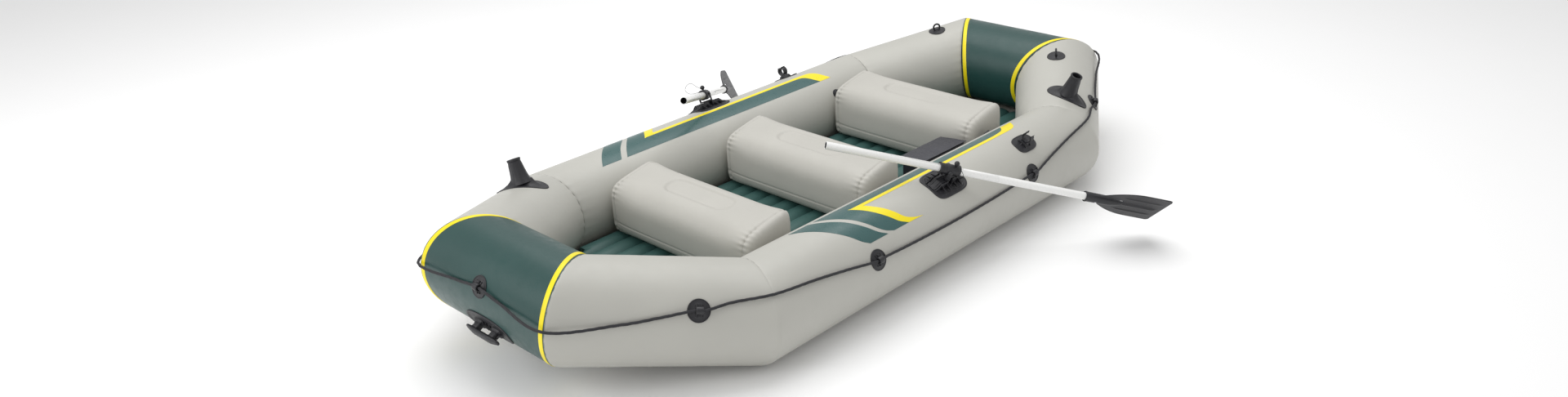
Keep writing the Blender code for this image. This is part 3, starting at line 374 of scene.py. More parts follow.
class Shape:
    """Closed meshes gathered into one piece."""

    def __init__(self):
        self.points, self.faces, self.slots = [], [], []
        self.count = 0

    def grid(self, rows, loop=False, matrix=None, bend=None, slot=0):
        """A closed skin over rings of points; loop joins the last ring to the first. bend shapes the
        points before the matrix places them."""
        rows = np.asarray(rows, float)
        if bend is not None:
            rows = bend(rows)
        if matrix is not None:
            rows = placed(rows, matrix)
        count, width = rows.shape[:2]
        faces = []
        for row in range(count if loop else count - 1):
            here, after = self.count + row * width, self.count + (row + 1) % count * width
            for index in range(width):
                beside = (index + 1) % width
                faces.append((here + index, here + beside, after + beside, after + index))
        if not loop:
            faces += [tuple(range(self.count + width - 1, self.count - 1, -1)),
                      tuple(self.count + (count - 1) * width + i for i in range(width))]
        self.points.append(rows.reshape(-1, 3))
        self.faces += faces
        self.slots += [slot] * len(faces)
        self.count += count * width
        return self

    def lathe(self, profile, matrix=None, sides=48, closed=False, ribs=0, rib_depth=0.0, rib_span=None,
              slot=0):
        """A profile of (radius, z) turned about Z; closed joins its two ends for a ring or a tube."""
        turns = 2 * math.pi * np.arange(sides) / sides
        rows = []
        for radius, z in profile:
            reach = np.full(sides, max(radius, 1e-5))
            if ribs and rib_span[0] <= z <= rib_span[1]:
                reach = reach + rib_depth * (0.5 + 0.5 * np.cos(ribs * turns))
            rows.append(ring_at(np.column_stack([reach * np.cos(turns), reach * np.sin(turns)]), z))
        return self.grid(rows, closed, matrix, slot=slot)

    def tube(self, path, radius, sides, loop=False):
        """A round rod along the path."""
        return self.grid(swept(path, lambda place: np.full(sides, radius), sides, loop), loop)

    def pad(self, outline, heights, bend):
        """A plate over an outline seen from above; heights are (share of the outline, z in millimetres)
        from its lower edge inwards."""
        centre = outline.mean(0)
        return self.grid([ring_at(centre + (outline - centre) * share, z / 1000) for share, z in heights],
                         bend=bend)

    def block(self, size, centre, soft=0.3, taper=1.0):
        """A box with rounded corners, in millimetres; taper scales its top in plan."""
        (length, width, height), centre = mm(size), mm(centre)
        edge = soft * min(length, width, height)
        low, high = centre[2] - height / 2, centre[2] + height / 2
        heights = [(0.0, low), (0.0, low + edge)]
        for turn in np.linspace(0, math.pi / 2, 5)[1:]:
            heights.append((edge * (1 - math.cos(turn)), high - edge * (1 - math.sin(turn))))
        rows = []
        for inset, z in heights:
            share = 1.0 + (taper - 1.0) * (z - low) / height
            sides = (max(side * share - 2 * inset, 1e-4) for side in (length, width))
            flat = np.array(rounded(*sides, max(edge - inset, 1e-5)))
            rows.append(ring_at(flat + centre[:2], z))
        return self.grid(rows)

    def plate(self, outline, middle, half, matrix, edge):
        """A counter-clockwise outline drawn from middle - half to middle + half, with softened edges, in
        millimetres."""
        low, high = middle - half, middle + half
        return self.grid([ring_at(mm(offset_outline(outline, inset)), z / 1000) for inset, z in (
            (edge, low), (0.3 * edge, low + 0.3 * edge), (0, low + edge), (0, high - edge),
            (0.3 * edge, high - 0.3 * edge), (edge, high))], matrix=matrix)

    def piece(self, name, materials, body="boat", nodes=(), sharp=35.0, matrix=None, weld=0.0):
        """Makes the object."""
        points = np.concatenate(self.points)
        if matrix is not None:
            points = placed(points, matrix)
        mesh = bpy.data.meshes.new(name)
        mesh.from_pydata(points.tolist(), [], self.faces)
        materials = materials if isinstance(materials, list) else [materials]
        for material in materials:
            mesh.materials.append(material)
        mesh.polygons.foreach_set("material_index", self.slots)
        work = bmesh.new()
        work.from_mesh(mesh)
        if weld:
            bmesh.ops.remove_doubles(work, verts=work.verts, dist=weld)
        bmesh.ops.recalc_face_normals(work, faces=work.faces)
        work.to_mesh(mesh)
        work.free()
        mesh.shade_smooth()
        mesh.set_sharp_from_angle(angle=math.radians(sharp))
        obj = bpy.data.objects.new(name, mesh)
        bpy.context.scene.collection.objects.link(obj)
        if body:
            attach(obj, body)
        if nodes:
            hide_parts(*([nodes] if isinstance(nodes, str) else nodes))
        return obj


def swept(path, radii, sides, loop=False, twist=None):
    """Rows of points round a path; radii(place) gives the radii round it at a distance along it."""
    after, before = np.roll(path, -1, axis=0), np.roll(path, 1, axis=0)
    if not loop:
        after[-1], before[0] = path[-1], path[0]
    ways = after - before
    ways /= np.linalg.norm(ways, axis=1)[:, None]
    side = unit(np.cross(ways[0], (0, 0, 1) if abs(ways[0][2]) < 0.9 else (1, 0, 0)))
    rows = []
    for point, way, place in zip(path, ways, steps_along(path)):
        side = unit(side - way * (side @ way))
        other = np.cross(way, side)
        turns = 2 * math.pi * np.arange(sides) / sides + (twist(place) if twist else 0.0)
        reach = radii(place)
        rows.append(point + (reach * np.cos(turns))[:, None] * side
                    + (reach * np.sin(turns))[:, None] * other)
    return np.array(rows)


def rounded(length, width, corner, steps=4):
    """A rectangle with rounded corners, centred on the origin."""
    corner = min(corner, length / 2, width / 2)
    outline = []
    for quarter, (sx, sy) in enumerate(((1, 1), (-1, 1), (-1, -1), (1, -1))):
        for step in range(steps + 1):
            turn = (quarter + step / steps) * math.pi / 2
            outline.append((sx * (length / 2 - corner) + corner * math.cos(turn),
                            sy * (width / 2 - corner) + corner * math.sin(turn)))
    return outline


def offset_outline(outline, inset):
    """The outline, counter-clockwise, moved inwards by inset."""
    outline = np.asarray(outline, float)
    before, after = outline - np.roll(outline, 1, axis=0), np.roll(outline, -1, axis=0) - outline
    normals = []
    for edge in (before, after):
        edge = edge / np.maximum(np.linalg.norm(edge, axis=1), 1e-6)[:, None]
        normals.append(np.column_stack([-edge[:, 1], edge[:, 0]]))
    middle = normals[0] + normals[1]
    middle /= np.maximum(np.linalg.norm(middle, axis=1), 1e-9)[:, None]
    lean = np.maximum((middle * normals[0]).sum(1), 0.5)
    return outline + middle * (inset / lean)[:, None]


def mirrored(outline, way):
    """The outline, or its mirror image in x where way is -1, still counter-clockwise."""
    return [(way * x, y) for x, y in outline][::way]


def oval(length, width, points=64, power=2.0):
    turns = 2 * math.pi * (np.arange(points) + 0.5) / points
    x, y = np.cos(turns), np.sin(turns)
    return np.column_stack([length / 2 * np.sign(x) * np.abs(x) ** (2 / power),
                            width / 2 * np.sign(y) * np.abs(y) ** (2 / power)])


def hugging(radius, turn=0.0):
    """Bends flat points over a tube of that radius; turn is the angle from the tube's length to their X."""
    def bend(points):
        cosine, sine = math.cos(math.radians(turn)), math.sin(math.radians(turn))
        x, y, z = points[..., 0], points[..., 1], points[..., 2]
        along, across = x * cosine - y * sine, x * sine + y * cosine
        share = np.clip(across / radius, -0.99, 0.99)
        wide, high = across * (1 + z / radius), (radius + z) * np.sqrt(1 - share ** 2) - radius
        return np.stack([along * cosine + wide * sine, wide * cosine - along * sine, high], axis=-1)
    return bend


def edge_heights(top, border, sink):
    """Heights for Shape.pad: a rounded outer edge, a raised border and a sunk middle."""
    return [(1.0, -1.2), (1.0, top * 0.4), (0.995, top * 0.8), (0.985, top), (1 - border, top)] + [
        (share, top - sink) for share in (1 - border - 0.02, 0.7, 0.45, 0.2, 0.02)]


ALONG_X = turn_about("Y", 90)
STAND_XZ = turn_about("X", 90)  # an outline's (x, y) becomes (x, z)
STAND_YZ = np.eye(4)[[2, 0, 1, 3]]  # an outline's (x, y) becomes (y, z)


def circle(radius):
    return oval(2 * radius, 2 * radius)


# ---- Hull tubes ----
RING_POINTS = 128
SEAM_DEPTH, SEAM_WIDTH = 0.0016, 0.0045
PUCKER_REACH = 0.026
END_STEPS = (0.0, 0.0015, 0.003, 0.005, 0.008, 0.012, 0.018, 0.026, 0.036, 0.048, 0.062, 0.08, 0.105)


def seam_shape(angle, away, phase):
    """How far a tube's skin drops near a welded seam: a narrow valley, and puckers that fade from it."""
    turn = np.radians(angle)
    inside = smoothstep(60, 130, angle) * (1 - smoothstep(255, 310, angle))
    waves = np.sin(31 * turn + 0.7 * np.sin(3 * turn + phase)) + 0.6 * np.sin(47 * turn + 2.1 * phase)
    valley = SEAM_DEPTH * np.exp(-(away / SEAM_WIDTH) ** 1.5)
    puckers = (0.0003 + 0.0013 * inside) * (0.8 + 0.5 * waves) * np.exp(-away / PUCKER_REACH)
    return valley + np.maximum(puckers, 0.0)


def hull_skin(panel):
    angles = 360.0 * np.arange(RING_POINTS) / RING_POINTS
    starts, ends = (panel.end_distance(end, angles) for end in (0, 1))
    spans = ends - starts
    shortest = spans.min()
    near = [step / shortest for step in END_STEPS if step < 0.45 * shortest]
    shares = near + list(np.linspace(near[-1], 1 - near[-1], 22)[1:-1]) + [1 - share for share in near[::-1]]
    rows = []
    for share in shares:
        from_start, from_end = share * spans, (1 - share) * spans
        drop = seam_shape(angles, from_start, 0.0) + seam_shape(angles, from_end, 1.7)
        drop += 0.00025 * np.sin(np.radians(angles) * 5 + share * 9) ** 2
        rows.append(panel.surface(starts + from_start, angles, -drop))
    return Shape().grid(rows)


def make_hull():
    for name, panel in PANELS.items():
        hidden = {"bow_tube": ["bulkhead_bow"], "stern_tube": ["bulkhead_stern"]}.get(name, [])
        hull_skin(panel).piece(f"skin_{name}", GREEN if hidden else GREY, "boat", [name, *hidden], 50)


PIPING_INSET, PIPING_WIDTH = 0.0065, 0.02


def make_piping():
    """A printed yellow band just inside each end seam of the bow and stern tubes."""
    angles = np.linspace(0, 360, 145)[:-1]
    for tube in ("bow_tube", "stern_tube"):
        panel = PANELS[tube]
        for end, way in ((0, 1), (1, -1)):
            seam = panel.end_distance(end, angles)
            section = [(0.0, -0.002), (0.0, 0.0002), (0.06, 0.0005), (0.5, 0.0006), (0.94, 0.0005),
                       (1.0, 0.0002), (1.0, -0.002)]
            rows = [panel.surface(seam + way * (PIPING_INSET + share * PIPING_WIDTH), angles, rise)
                    for share, rise in section]
            Shape().grid(rows, loop=True).piece(f"piping_{tube}_{end}", PIPING, sharp=60)


# ---- Printed stripes on the side tubes, in (y, angle round the tube) ----
STRIPE_LIFT = 0.00045
TOP_EDGE = {"port": 111.0, "starboard": 117.5}  # the print's inner edge
FRONT_STRIPE = ([(-0.708, 118), (-0.69, 109), (-0.668, 99.5), (-0.634, 87), (-0.594, 73), (-0.554, 59),
                 (-0.524, 48), (-0.494, 41.5)],
                [(-0.612, 118), (-0.592, 108), (-0.57, 98.5), (-0.54, 88), (-0.513, 79), (-0.49, 70),
                 (-0.464, 60), (-0.434, 49), (-0.397, 41.5)])
SECOND_STRIPE = ([(-0.582, 118), (-0.562, 108), (-0.54, 99), (-0.511, 88), (-0.478, 76), (-0.45, 64),
                  (-0.424, 53), (-0.398, 46), (-0.364, 41.5)],
                 [(-0.47, 118), (-0.452, 108), (-0.432, 95), (-0.396, 79.5), (-0.372, 69), (-0.347, 59),
                  (-0.319, 48.5), (-0.282, 41.5)])
YELLOW_STRIPE = ([(-0.436, 96.5), (-0.396, 79.5), (-0.372, 69), (-0.347, 59), (-0.319, 48.5), (-0.282, 41.5)],
                 [(-0.375, 89.8), (-0.356, 81), (-0.333, 72), (-0.308, 61), (-0.283, 50), (-0.244, 43.8),
                  (-0.201, 41.0)])
BAND_LOW, LINE_LOW = 95.2, 89.8
BAND_START, BAND_END, YELLOW_END = -0.49, 0.57, 0.641
GIRTH = np.array((1.0, 320.0))  # a metre along the tube counts like 320 degrees round it


def along_curve(points, count, per_span=10):
    """The points at even steps along a smooth curve through them."""
    return spaced(smooth_route(points / GIRTH, per_span), count) * GIRTH


def film(name, panel, one, other, paint, lift):
    """A thin printed film on a tube between two rows of (y, angle)."""
    lines = [one + (other - one) * share for share in np.linspace(0, 1, 9)]
    rows = []
    for line, raised in [(line, lift) for line in lines] + [(line, 0.0001) for line in reversed(lines)]:
        rows.append(panel.surface((line[:, 0] - panel.start[1]) / panel.along[1], line[:, 1], raised))
    Shape().grid(np.array(rows).transpose(1, 0, 2)).piece(name, paint, sharp=60)


def trimmed(points, top):
    """The curve without what lies past the print's inner edge."""
    fine = smooth_route(points / GIRTH, 12) * GIRTH
    fine[:, 1] = np.minimum(fine[:, 1], top)
    return fine[max(int((fine[:, 1] >= top).sum()) - 1, 0):]


def ribbon(name, curves, paint, lift=STRIPE_LIFT):
    """A printed film on both side tubes between two curves of (y, angle)."""
    for side in SIDES:
        one, other = (along_curve(trimmed(curve, TOP_EDGE[side]), 60, 2) for curve in curves)
        film(f"{name}_{side}", PANELS[panel_at("side", side)], one, other, paint, lift)


def make_stripes():
    ribbon("stripe_front", FRONT_STRIPE, PRINT_GREEN)
    ribbon("stripe_second", SECOND_STRIPE, PRINT_GREEN)
    ribbon("stripe_yellow_front", YELLOW_STRIPE, PRINT_YELLOW, STRIPE_LIFT + 0.0002)
    curve_start = BAND_END - 0.115
    ribbon("stripe_line", [[(-0.428, BAND_LOW), (curve_start, BAND_LOW)],
                           [(-0.373, LINE_LOW), (curve_start, LINE_LOW)]], PRINT_YELLOW, STRIPE_LIFT + 0.0001)
    for side, top in TOP_EDGE.items():
        panel = PANELS[panel_at("side", side)]
        inner_end = [(BAND_END, top), (BAND_END - 0.018, top - 6), (BAND_END - 0.055, BAND_LOW + 2.5),
                     (curve_start, BAND_LOW)]
        outer_end = [(YELLOW_END, top), (YELLOW_END - 0.018, top - 7), (YELLOW_END - 0.068, LINE_LOW + 1.8),
                     (curve_start, LINE_LOW)]
        film(f"stripe_yellow_end_{side}", panel, along_curve(inner_end, 40), along_curve(outer_end, 40),
             PRINT_YELLOW, STRIPE_LIFT + 0.0002)
        rows_top = np.column_stack([np.linspace(BAND_START, BAND_END, 40), np.full(40, top)])
        rows_low = np.column_stack([np.linspace(BAND_START + 0.046, curve_start, 25), np.full(25, BAND_LOW)])
        rows_low = np.concatenate([rows_low, along_curve(inner_end[::-1], 16)[1:]])
        film(f"stripe_band_{side}", panel, rows_top, rows_low, PRINT_GREEN, STRIPE_LIFT - 0.0001)


# ---- Bottom sheet, air floor and seats ----
def half_width_of_sheet(y):
    """Half the bottom sheet's width, along the hull's axis line."""
    return np.interp(y, [BOW_CORNER[1], BOW_KNUCKLE_Y, STERN_KNUCKLE_Y, STERN_CORNER[1]],
                     [BOW_CORNER[0], SIDE_AXIS_X, SIDE_AXIS_X, STERN_CORNER[0]])


def facing_rows(x, y, top, bottom):
    """One ring across a flat piece at y: its top from left to right, then its bottom back."""
    across = np.full_like(x, y)
    return np.concatenate([np.column_stack([x, across, top]), np.column_stack([x, across, bottom])[::-1]])


def make_bottom_sheet():
    folds = [SHEET_FRONT_FOLD, BOW_KNUCKLE_Y, STERN_KNUCKLE_Y, SHEET_BACK_FOLD]
    stations = np.unique(np.concatenate([np.linspace(BOW_CORNER[1], STERN_CORNER[1], 70), folds]))
    shares = np.linspace(-1, 1, 49)
    rows = []
    for y in stations:
        x = shares * half_width_of_sheet(y)
        low = sheet_height(y) + 0.00012 * (1 + np.sin(38 * x + 3 * math.sin(2 * y)))
        rows.append(facing_rows(x, y, low + SHEET_THICKNESS, low))
    sheet = Shape().grid(rows).piece("bottom_fabric", GREY, "boat", "bottom_sheet", 40)


FLOOR_RIBS = 10
FLOOR_VALLEY = 0.015


def make_floor():
    """The air floor: lengthwise ribs between welded valleys, cut to the hull's inside."""
    pitch = 2 * FLOOR_HALF_WIDTH / FLOOR_RIBS
    columns = np.linspace(-FLOOR_HALF_WIDTH, FLOOR_HALF_WIDTH, FLOOR_RIBS * 14 + 1)
    ends = np.array([0.0, 0.001, 0.004, 0.009, 0.016, 0.025, 0.04])
    stations = np.concatenate([FLOOR_FRONT + ends, np.linspace(FLOOR_FRONT + 0.06, FLOOR_BACK - 0.06, 70),
                               FLOOR_BACK - ends[::-1]])
    rows = []
    for y in stations:
        half = min(FLOOR_HALF_WIDTH, inner_half_width(y, FLOOR_TOP) - 0.004)
        x = np.clip(columns, -half, half)
        inset = np.minimum(half - np.abs(x), min(y - FLOOR_FRONT, FLOOR_BACK - y))
        low = float(sheet_height(y)) + 0.0016
        edge = np.sqrt(1 - (1 - np.clip(inset / 0.022, 0, 1)) ** 2)
        across = np.mod((x + FLOOR_HALF_WIDTH) / pitch, 1.0) * 2 - 1
        valve = np.hypot(x - FLOOR_VALVE[0], y - FLOOR_VALVE[1])
        drop = FLOOR_VALLEY * np.abs(across) ** 2.6 * smoothstep(0.026, 0.055, valve)
        drop = drop + 0.0006 * np.sin(21 * y + 5 * np.round((x + FLOOR_HALF_WIDTH) / pitch)) ** 2 * (
            np.abs(across) > 0.6)
        height = low + (FLOOR_TOP - drop - low) * edge
        rows.append(facing_rows(x, y, height, np.full_like(x, low)))
    floor = Shape().grid(rows).piece("floor_cushion", FLOOR_GREEN, "boat", "air_floor", 60, weld=0.0002)


SEAT_RINGS, SEAT_POINTS = 110, 120
SEAT_SEAM_X = 0.349  # weld between the seat's wrap and its end panels
SEAT_PINCH = 0.16  # how far from that weld the wrap turns from square to round
SEAT_RISE = (-0.003, -0.005)  # of the wrap over the top of its CAD solid, in its middle and at its seams
SEAT_TILT = (0.013, 0.023)  # how far the top's rear edge is up there and its front edge down
HOLLOW_REACH, HOLLOW_HALF_WIDTH, HOLLOW_SHIFT = 0.172, 0.05, 0.016


def seat_section(turns, half_depth, half_height, front, rear, under, tilt):
    """A superellipse with its own power for the upper front, the upper rear and the lower half."""
    y, z = np.cos(turns), np.sin(turns)
    power = np.where(z < 0, under, np.where(y < 0, front, rear))
    y, z = np.sign(y) * np.abs(y) ** (2 / power), np.sign(z) * np.abs(z) ** (2 / power)
    return half_depth * y, half_height * z + tilt * y * np.clip(z, 0, 1)


def seat_form(middle, top, half_depth):
    """An inflated cushion's points: a wrap, round in its middle and square at its seams, with domed ends."""
    low = FLOOR_TOP - 0.004
    turns = 2 * math.pi * (np.arange(SEAT_POINTS) + 0.5) / SEAT_POINTS
    body = SEAT_SEAM_X * np.linspace(-1, 1, SEAT_RINGS - 24)
    cap = np.array([0.0, 0.06, 0.14, 0.24, 0.36, 0.49, 0.62, 0.74, 0.84, 0.92, 0.97, 0.995])
    rows = []
    for side, shares in ((-1, cap[::-1]), (0, body), (1, cap)):
        for share in shares:
            x = share if side == 0 else side * (SEAT_SEAM_X + (SEAT_HALF_LENGTH - SEAT_SEAM_X)
                                                * math.sin(share * math.pi / 2) ** 0.8)
            near = (max(0.0, 1 - (SEAT_SEAM_X - abs(x)) / SEAT_PINCH) if side == 0 else 1.0) ** 3
            shrink = 1.0 if side == 0 else math.cos(share * math.pi / 2) ** 0.3
            half_height = (top + SEAT_RISE[0] + (SEAT_RISE[1] - SEAT_RISE[0]) * near - low) / 2
            y, z = seat_section(turns, half_depth - 0.005 - 0.01 * near, half_height, 2.7 + 2.0 * near,
                                4.4 + 2.4 * near, 4.2 + 2.0 * near,
                                SEAT_TILT[0] + (SEAT_TILT[1] - SEAT_TILT[0]) * near)
            rows.append(np.column_stack([np.full_like(y, x), middle + y * shrink,
                                         low + half_height + z * shrink]))
    return np.array(rows), low


def seat_details(points, middle, top, half_depth, low):
    """Welds pressed into the inflated form: the hollow on top, the lengthwise seams and the end seams."""
    x, y, z = points[..., 0].copy(), points[..., 1].copy(), points[..., 2].copy()
    above = smoothstep(top - 0.06, top - 0.03, z)
    from_line = np.hypot(np.maximum(np.abs(x) - (HOLLOW_REACH - HOLLOW_HALF_WIDTH), 0),
                         y - middle - HOLLOW_SHIFT)
    hollow = 0.0085 * (1 - smoothstep(HOLLOW_HALF_WIDTH - 0.01, HOLLOW_HALF_WIDTH, from_line))
    weld = 0.0022 * np.exp(-((from_line - HOLLOW_HALF_WIDTH + 0.001) / 0.004) ** 2)
    z -= above * (hollow + weld)
    seam_z = low + 0.25 * (top - low)
    outward = np.sign(y - middle)
    facing = smoothstep(half_depth * 0.7, half_depth * 0.9, np.abs(y - middle))
    y -= outward * facing * 0.0032 * np.exp(-((z - seam_z) / 0.003) ** 2)
    turn = np.arctan2(z - (top + low) / 2, y - middle)
    away = np.abs(np.abs(x) - SEAT_SEAM_X)
    groove = 0.0036 * np.exp(-(away / 0.004) ** 2)
    waves = 0.5 + 0.5 * np.sin(34 * turn + 1.3 * np.sin(5 * turn) + 3 * np.sign(x))
    pucker = 0.0042 * waves * np.exp(-away / 0.015) * (0.35 + 0.65 * np.abs(np.sin(2 * turn)))
    centre = np.stack([np.zeros_like(y), middle + 0 * y, (top + low) / 2 + 0 * z], axis=-1)
    radial = np.stack([np.zeros_like(y), y, z], axis=-1) - centre
    radial /= np.maximum(np.linalg.norm(radial, axis=-1, keepdims=True), 1e-6)
    moved = np.stack([x, y, z], axis=-1) - radial * (groove + pucker)[..., None]
    moved[..., 2] = np.maximum(moved[..., 2], low)
    return moved


def inflate(obj, pinned, pressure=2.2, frames=14, most=0.009):
    """Blows the closed mesh up as cloth, with the pinned points held, and keeps each point within a cap."""
    mesh = obj.data
    before = np.array([v.co for v in mesh.vertices], float)
    group = obj.vertex_groups.new(name="held")
    for index, weight in enumerate(pinned):
        if weight > 0.01:
            group.add([index], float(weight), "REPLACE")
    cloth = obj.modifiers.new("Cloth", "CLOTH")
    settings = cloth.settings
    settings.quality = 6
    settings.mass = 0.25
    settings.tension_stiffness = settings.compression_stiffness = 40.0
    settings.shear_stiffness = 15.0
    settings.bending_stiffness = 0.4
    settings.air_damping = 2.0
    settings.use_pressure = True
    settings.uniform_pressure_force = pressure
    settings.shrink_min = -0.012
    settings.vertex_group_mass = "held"
    settings.effector_weights.gravity = 0.0
    cloth.collision_settings.use_collision = False
    cloth.point_cache.frame_start, cloth.point_cache.frame_end = 1, frames
    scene = bpy.context.scene
    for number in range(1, frames + 1):
        scene.frame_set(number)
    graph = bpy.context.evaluated_depsgraph_get()
    blown = obj.evaluated_get(graph).to_mesh()
    after = np.array([v.co for v in blown.vertices], float)
    obj.evaluated_get(graph).to_mesh_clear()
    obj.modifiers.remove(cloth)
    scene.frame_set(1)
    step = after - before
    size = np.linalg.norm(step, axis=1, keepdims=True)
    step *= np.minimum(1.0, most / np.maximum(size, 1e-9))
    mesh.vertices.foreach_set("co", (before + step).ravel())
    mesh.update()
    return before + step


def make_seat(name, middle, top, half_depth):
    rows, low = seat_form(middle, top, half_depth)
    seat = Shape().grid(rows).piece(f"{name}_cushion", SEAT_GREY, "boat", name, 80)
    points = rows.reshape(-1, 3)
    held = np.exp(-((np.abs(points[:, 0]) - SEAT_SEAM_X) / 0.006) ** 2)
    held = np.maximum(held, 1 - smoothstep(low + 0.006, low + 0.02, points[:, 2]))
    points = inflate(seat, held)
    seat.data.vertices.foreach_set("co", points.ravel())
    seat.data.update()
    smooth = seat.modifiers.new("Smooth", "SUBSURF")
    smooth.levels = smooth.render_levels = 1
    applied = bpy.data.meshes.new_from_object(seat.evaluated_get(bpy.context.evaluated_depsgraph_get()))
    seat.modifiers.remove(smooth)
    seat.data = applied
    points = np.array([v.co for v in applied.vertices], float)
    points = seat_details(points, middle, top, half_depth, low)
    box_low, box_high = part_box(name)
    points[:, 2] = np.minimum(points[:, 2], box_high.z + 0.02)
    points[:, 0] = np.clip(points[:, 0], box_low.x - 0.0005, box_high.x + 0.0005)
    applied.vertices.foreach_set("co", points.ravel())
    applied.update()
    applied.shade_smooth()


# ---- Grab line ----
def seam_point(panel, end, angle, lift):
    corner = (panel.start, panel.end)[end]
    reach = panel.normal(angle) * (panel.radii[end] + lift)
    mitre = panel.mitres[end]
    return corner + reach - panel.along * (reach @ mitre / (panel.along @ mitre))


def leg_angles(here, there, place, side, angle, next_angle):
    """The rope's angles at both ends of a stretch that crosses a seam, each on its own panel."""
    end = 1 if side == "port" else 0
    point = seam_point(here, end, ROPE_AT_SEAM[place], ROPE_RADIUS)
    reach = point - (there.end, there.start)[end]
    across = math.degrees(math.atan2(reach @ there.up, reach @ there.out))
    return [(angle, ROPE_AT_SEAM[place]), (across, next_angle)]


def grab_line_half(side):
    """The rope's points on one side, from the bow centre to the stern centre, as the CAD has them."""
    rest = ROPE_RADIUS + SIDE_RADIUS * (1 / math.cos(math.pi / HULL_SIDES) - 1) + 0.0007
    points = []
    for this, following in zip(GUIDE_SPOTS, GUIDE_SPOTS[1:]):
        (_, place, station, angle), (_, next_place, next_station, next_angle) = this, following
        here, there = PANELS[panel_at(place, side)], PANELS[panel_at(next_place, side)]
        legs = [(here, here.distance(station), here.distance(next_station))]
        turns, sag = [(angle, next_angle)], ROPE_SAG
        if here is not there:
            leaves, enters = (here.length, 0.0) if side == "port" else (0.0, there.length)
            legs = [(here, here.distance(station), leaves), (there, enters, there.distance(next_station))]
            turns, sag = leg_angles(here, there, place, side, angle, next_angle), 0.0
        for leg, ((panel, start, end), (turn_from, turn_to)) in enumerate(zip(legs, turns)):
            steps = max(2, round(abs(end - start) / ROPE_STEP))
            rate = (turn_to - turn_from) / (end - start)
            for index in range(1 if leg else 0, steps + 1):
                share = index / steps
                distance = start + (end - start) * share
                turn = turn_from + (turn_to - turn_from) * share - sag * math.sin(math.pi * share)
                if (leg == 0 and index == 0) or (leg == len(legs) - 1 and index == steps):
                    points += guide_points(panel, distance, turn, index == 0, end > start, rate)
                elif index == steps:
                    points.append(seam_point(panel, 1 if end > 0 else 0, turn, rest))
                else:
                    points.append(panel.surface(distance, turn, rest))
    return points


def guide_points(panel, distance, angle, leaving, forward, rate):
    """The rope on the half of a guide that it is entering or leaving: level in the bridge."""
    way = (1 if forward else -1) * (1 if leaving else -1)
    inside = panel.surface(distance + way * 0.014, angle, ROPE_AT_GUIDE)
    edge = panel.surface(distance + way * 0.046, angle + rate * way * 0.032, ROPE_AT_GUIDE - 0.0012)
    return [inside, edge] if leaving else [edge, inside]


ROPE_LAY = 0.034
ROPE_RING = 0.0026


def make_grab_line():
    """A three-strand twisted rope through all the guides."""
    points = np.array(grab_line_half("port") + grab_line_half("starboard")[::-1])
    route = smooth_route([points[-1], *points, points[0], points[1]], 6)[6:-6]
    path = spaced(route, round(path_length(route) / ROPE_RING) + 1, loop=True)
    total = ROPE_RING * len(path)
    turns = round(total / ROPE_LAY)
    angles = 2 * math.pi * np.arange(15) / 15
    strands = ROPE_RADIUS * (0.8 + 0.2 * np.abs(np.cos(1.5 * angles)) ** 0.8)
    rows = swept(path, lambda place: strands, 15, True, lambda place: 2 * math.pi * turns * place / total / 3)
    Shape().grid(rows, loop=True).piece("grab_rope", CORD, "boat", "grab_line", 70)


# ---- Hull fittings ----
def make_guide(name, panel_name, station, angle):
    panel = PANELS[panel_name]
    bend = hugging(panel.radius(panel.distance(station)))
    shape = Shape().pad(circle(GUIDE_RADIUS), [
        (1.0, -1.2), (1.0, 1.6), (0.985, 3), (0.955, 3.6), (0.925, 3.4), (0.9, 2.4), (0.72, 2.4), (0.6, 3.4),
        (0.44, 5.8), (0.3, 7.8), (0.15, 8.4), (0.01, 8.6)], bend)
    half, bore, outer = GUIDE_BRIDGE_LENGTH / 2, ROPE_RADIUS + 0.0013, GUIDE_BRIDGE_RADIUS
    hood = [(bore, -half + 0.0015), (bore + 0.0012, -half - 0.0012), (outer - 0.0022, -half - 0.0014),
            (outer - 0.0004, -half), (outer, -half + 0.0022), (outer + 0.0004, 0.0), (outer, half - 0.0022),
            (outer - 0.0004, half), (outer - 0.0022, half + 0.0014), (bore + 0.0012, half + 0.0012),
            (bore, half - 0.0015)]
    shape.lathe(hood, shifted(z=ROPE_AT_GUIDE) @ ALONG_X, 36, closed=True)
    for way in (-1, 1):
        shape.plate([(-7.5, 1), (7.5, 1), (5.5, 9.8), (-5.5, 9.8)], way * 15.5, 5.5, STAND_XZ, 1.2)
        x = way * 12.5
        shape.plate([(x - 1.2, 1), (x + 1.2, 1), (x + 1.2, 5.8), (x - 1.2, 5.8)], 0, 20, STAND_XZ, 0.5)
    shape.piece(f"guide_{name}", PLASTIC, "boat", f"rope_guide_{name}", matrix=panel.frame(station, angle))


def make_guides():
    for label, place, station, angle in GUIDE_SPOTS:
        if place in ("bow", "stern"):
            make_guide(label, panel_at(place), station, angle)
            continue
        for side in SIDES:
            make_guide(f"{label}_{side}", panel_at(place, side), station, angle)


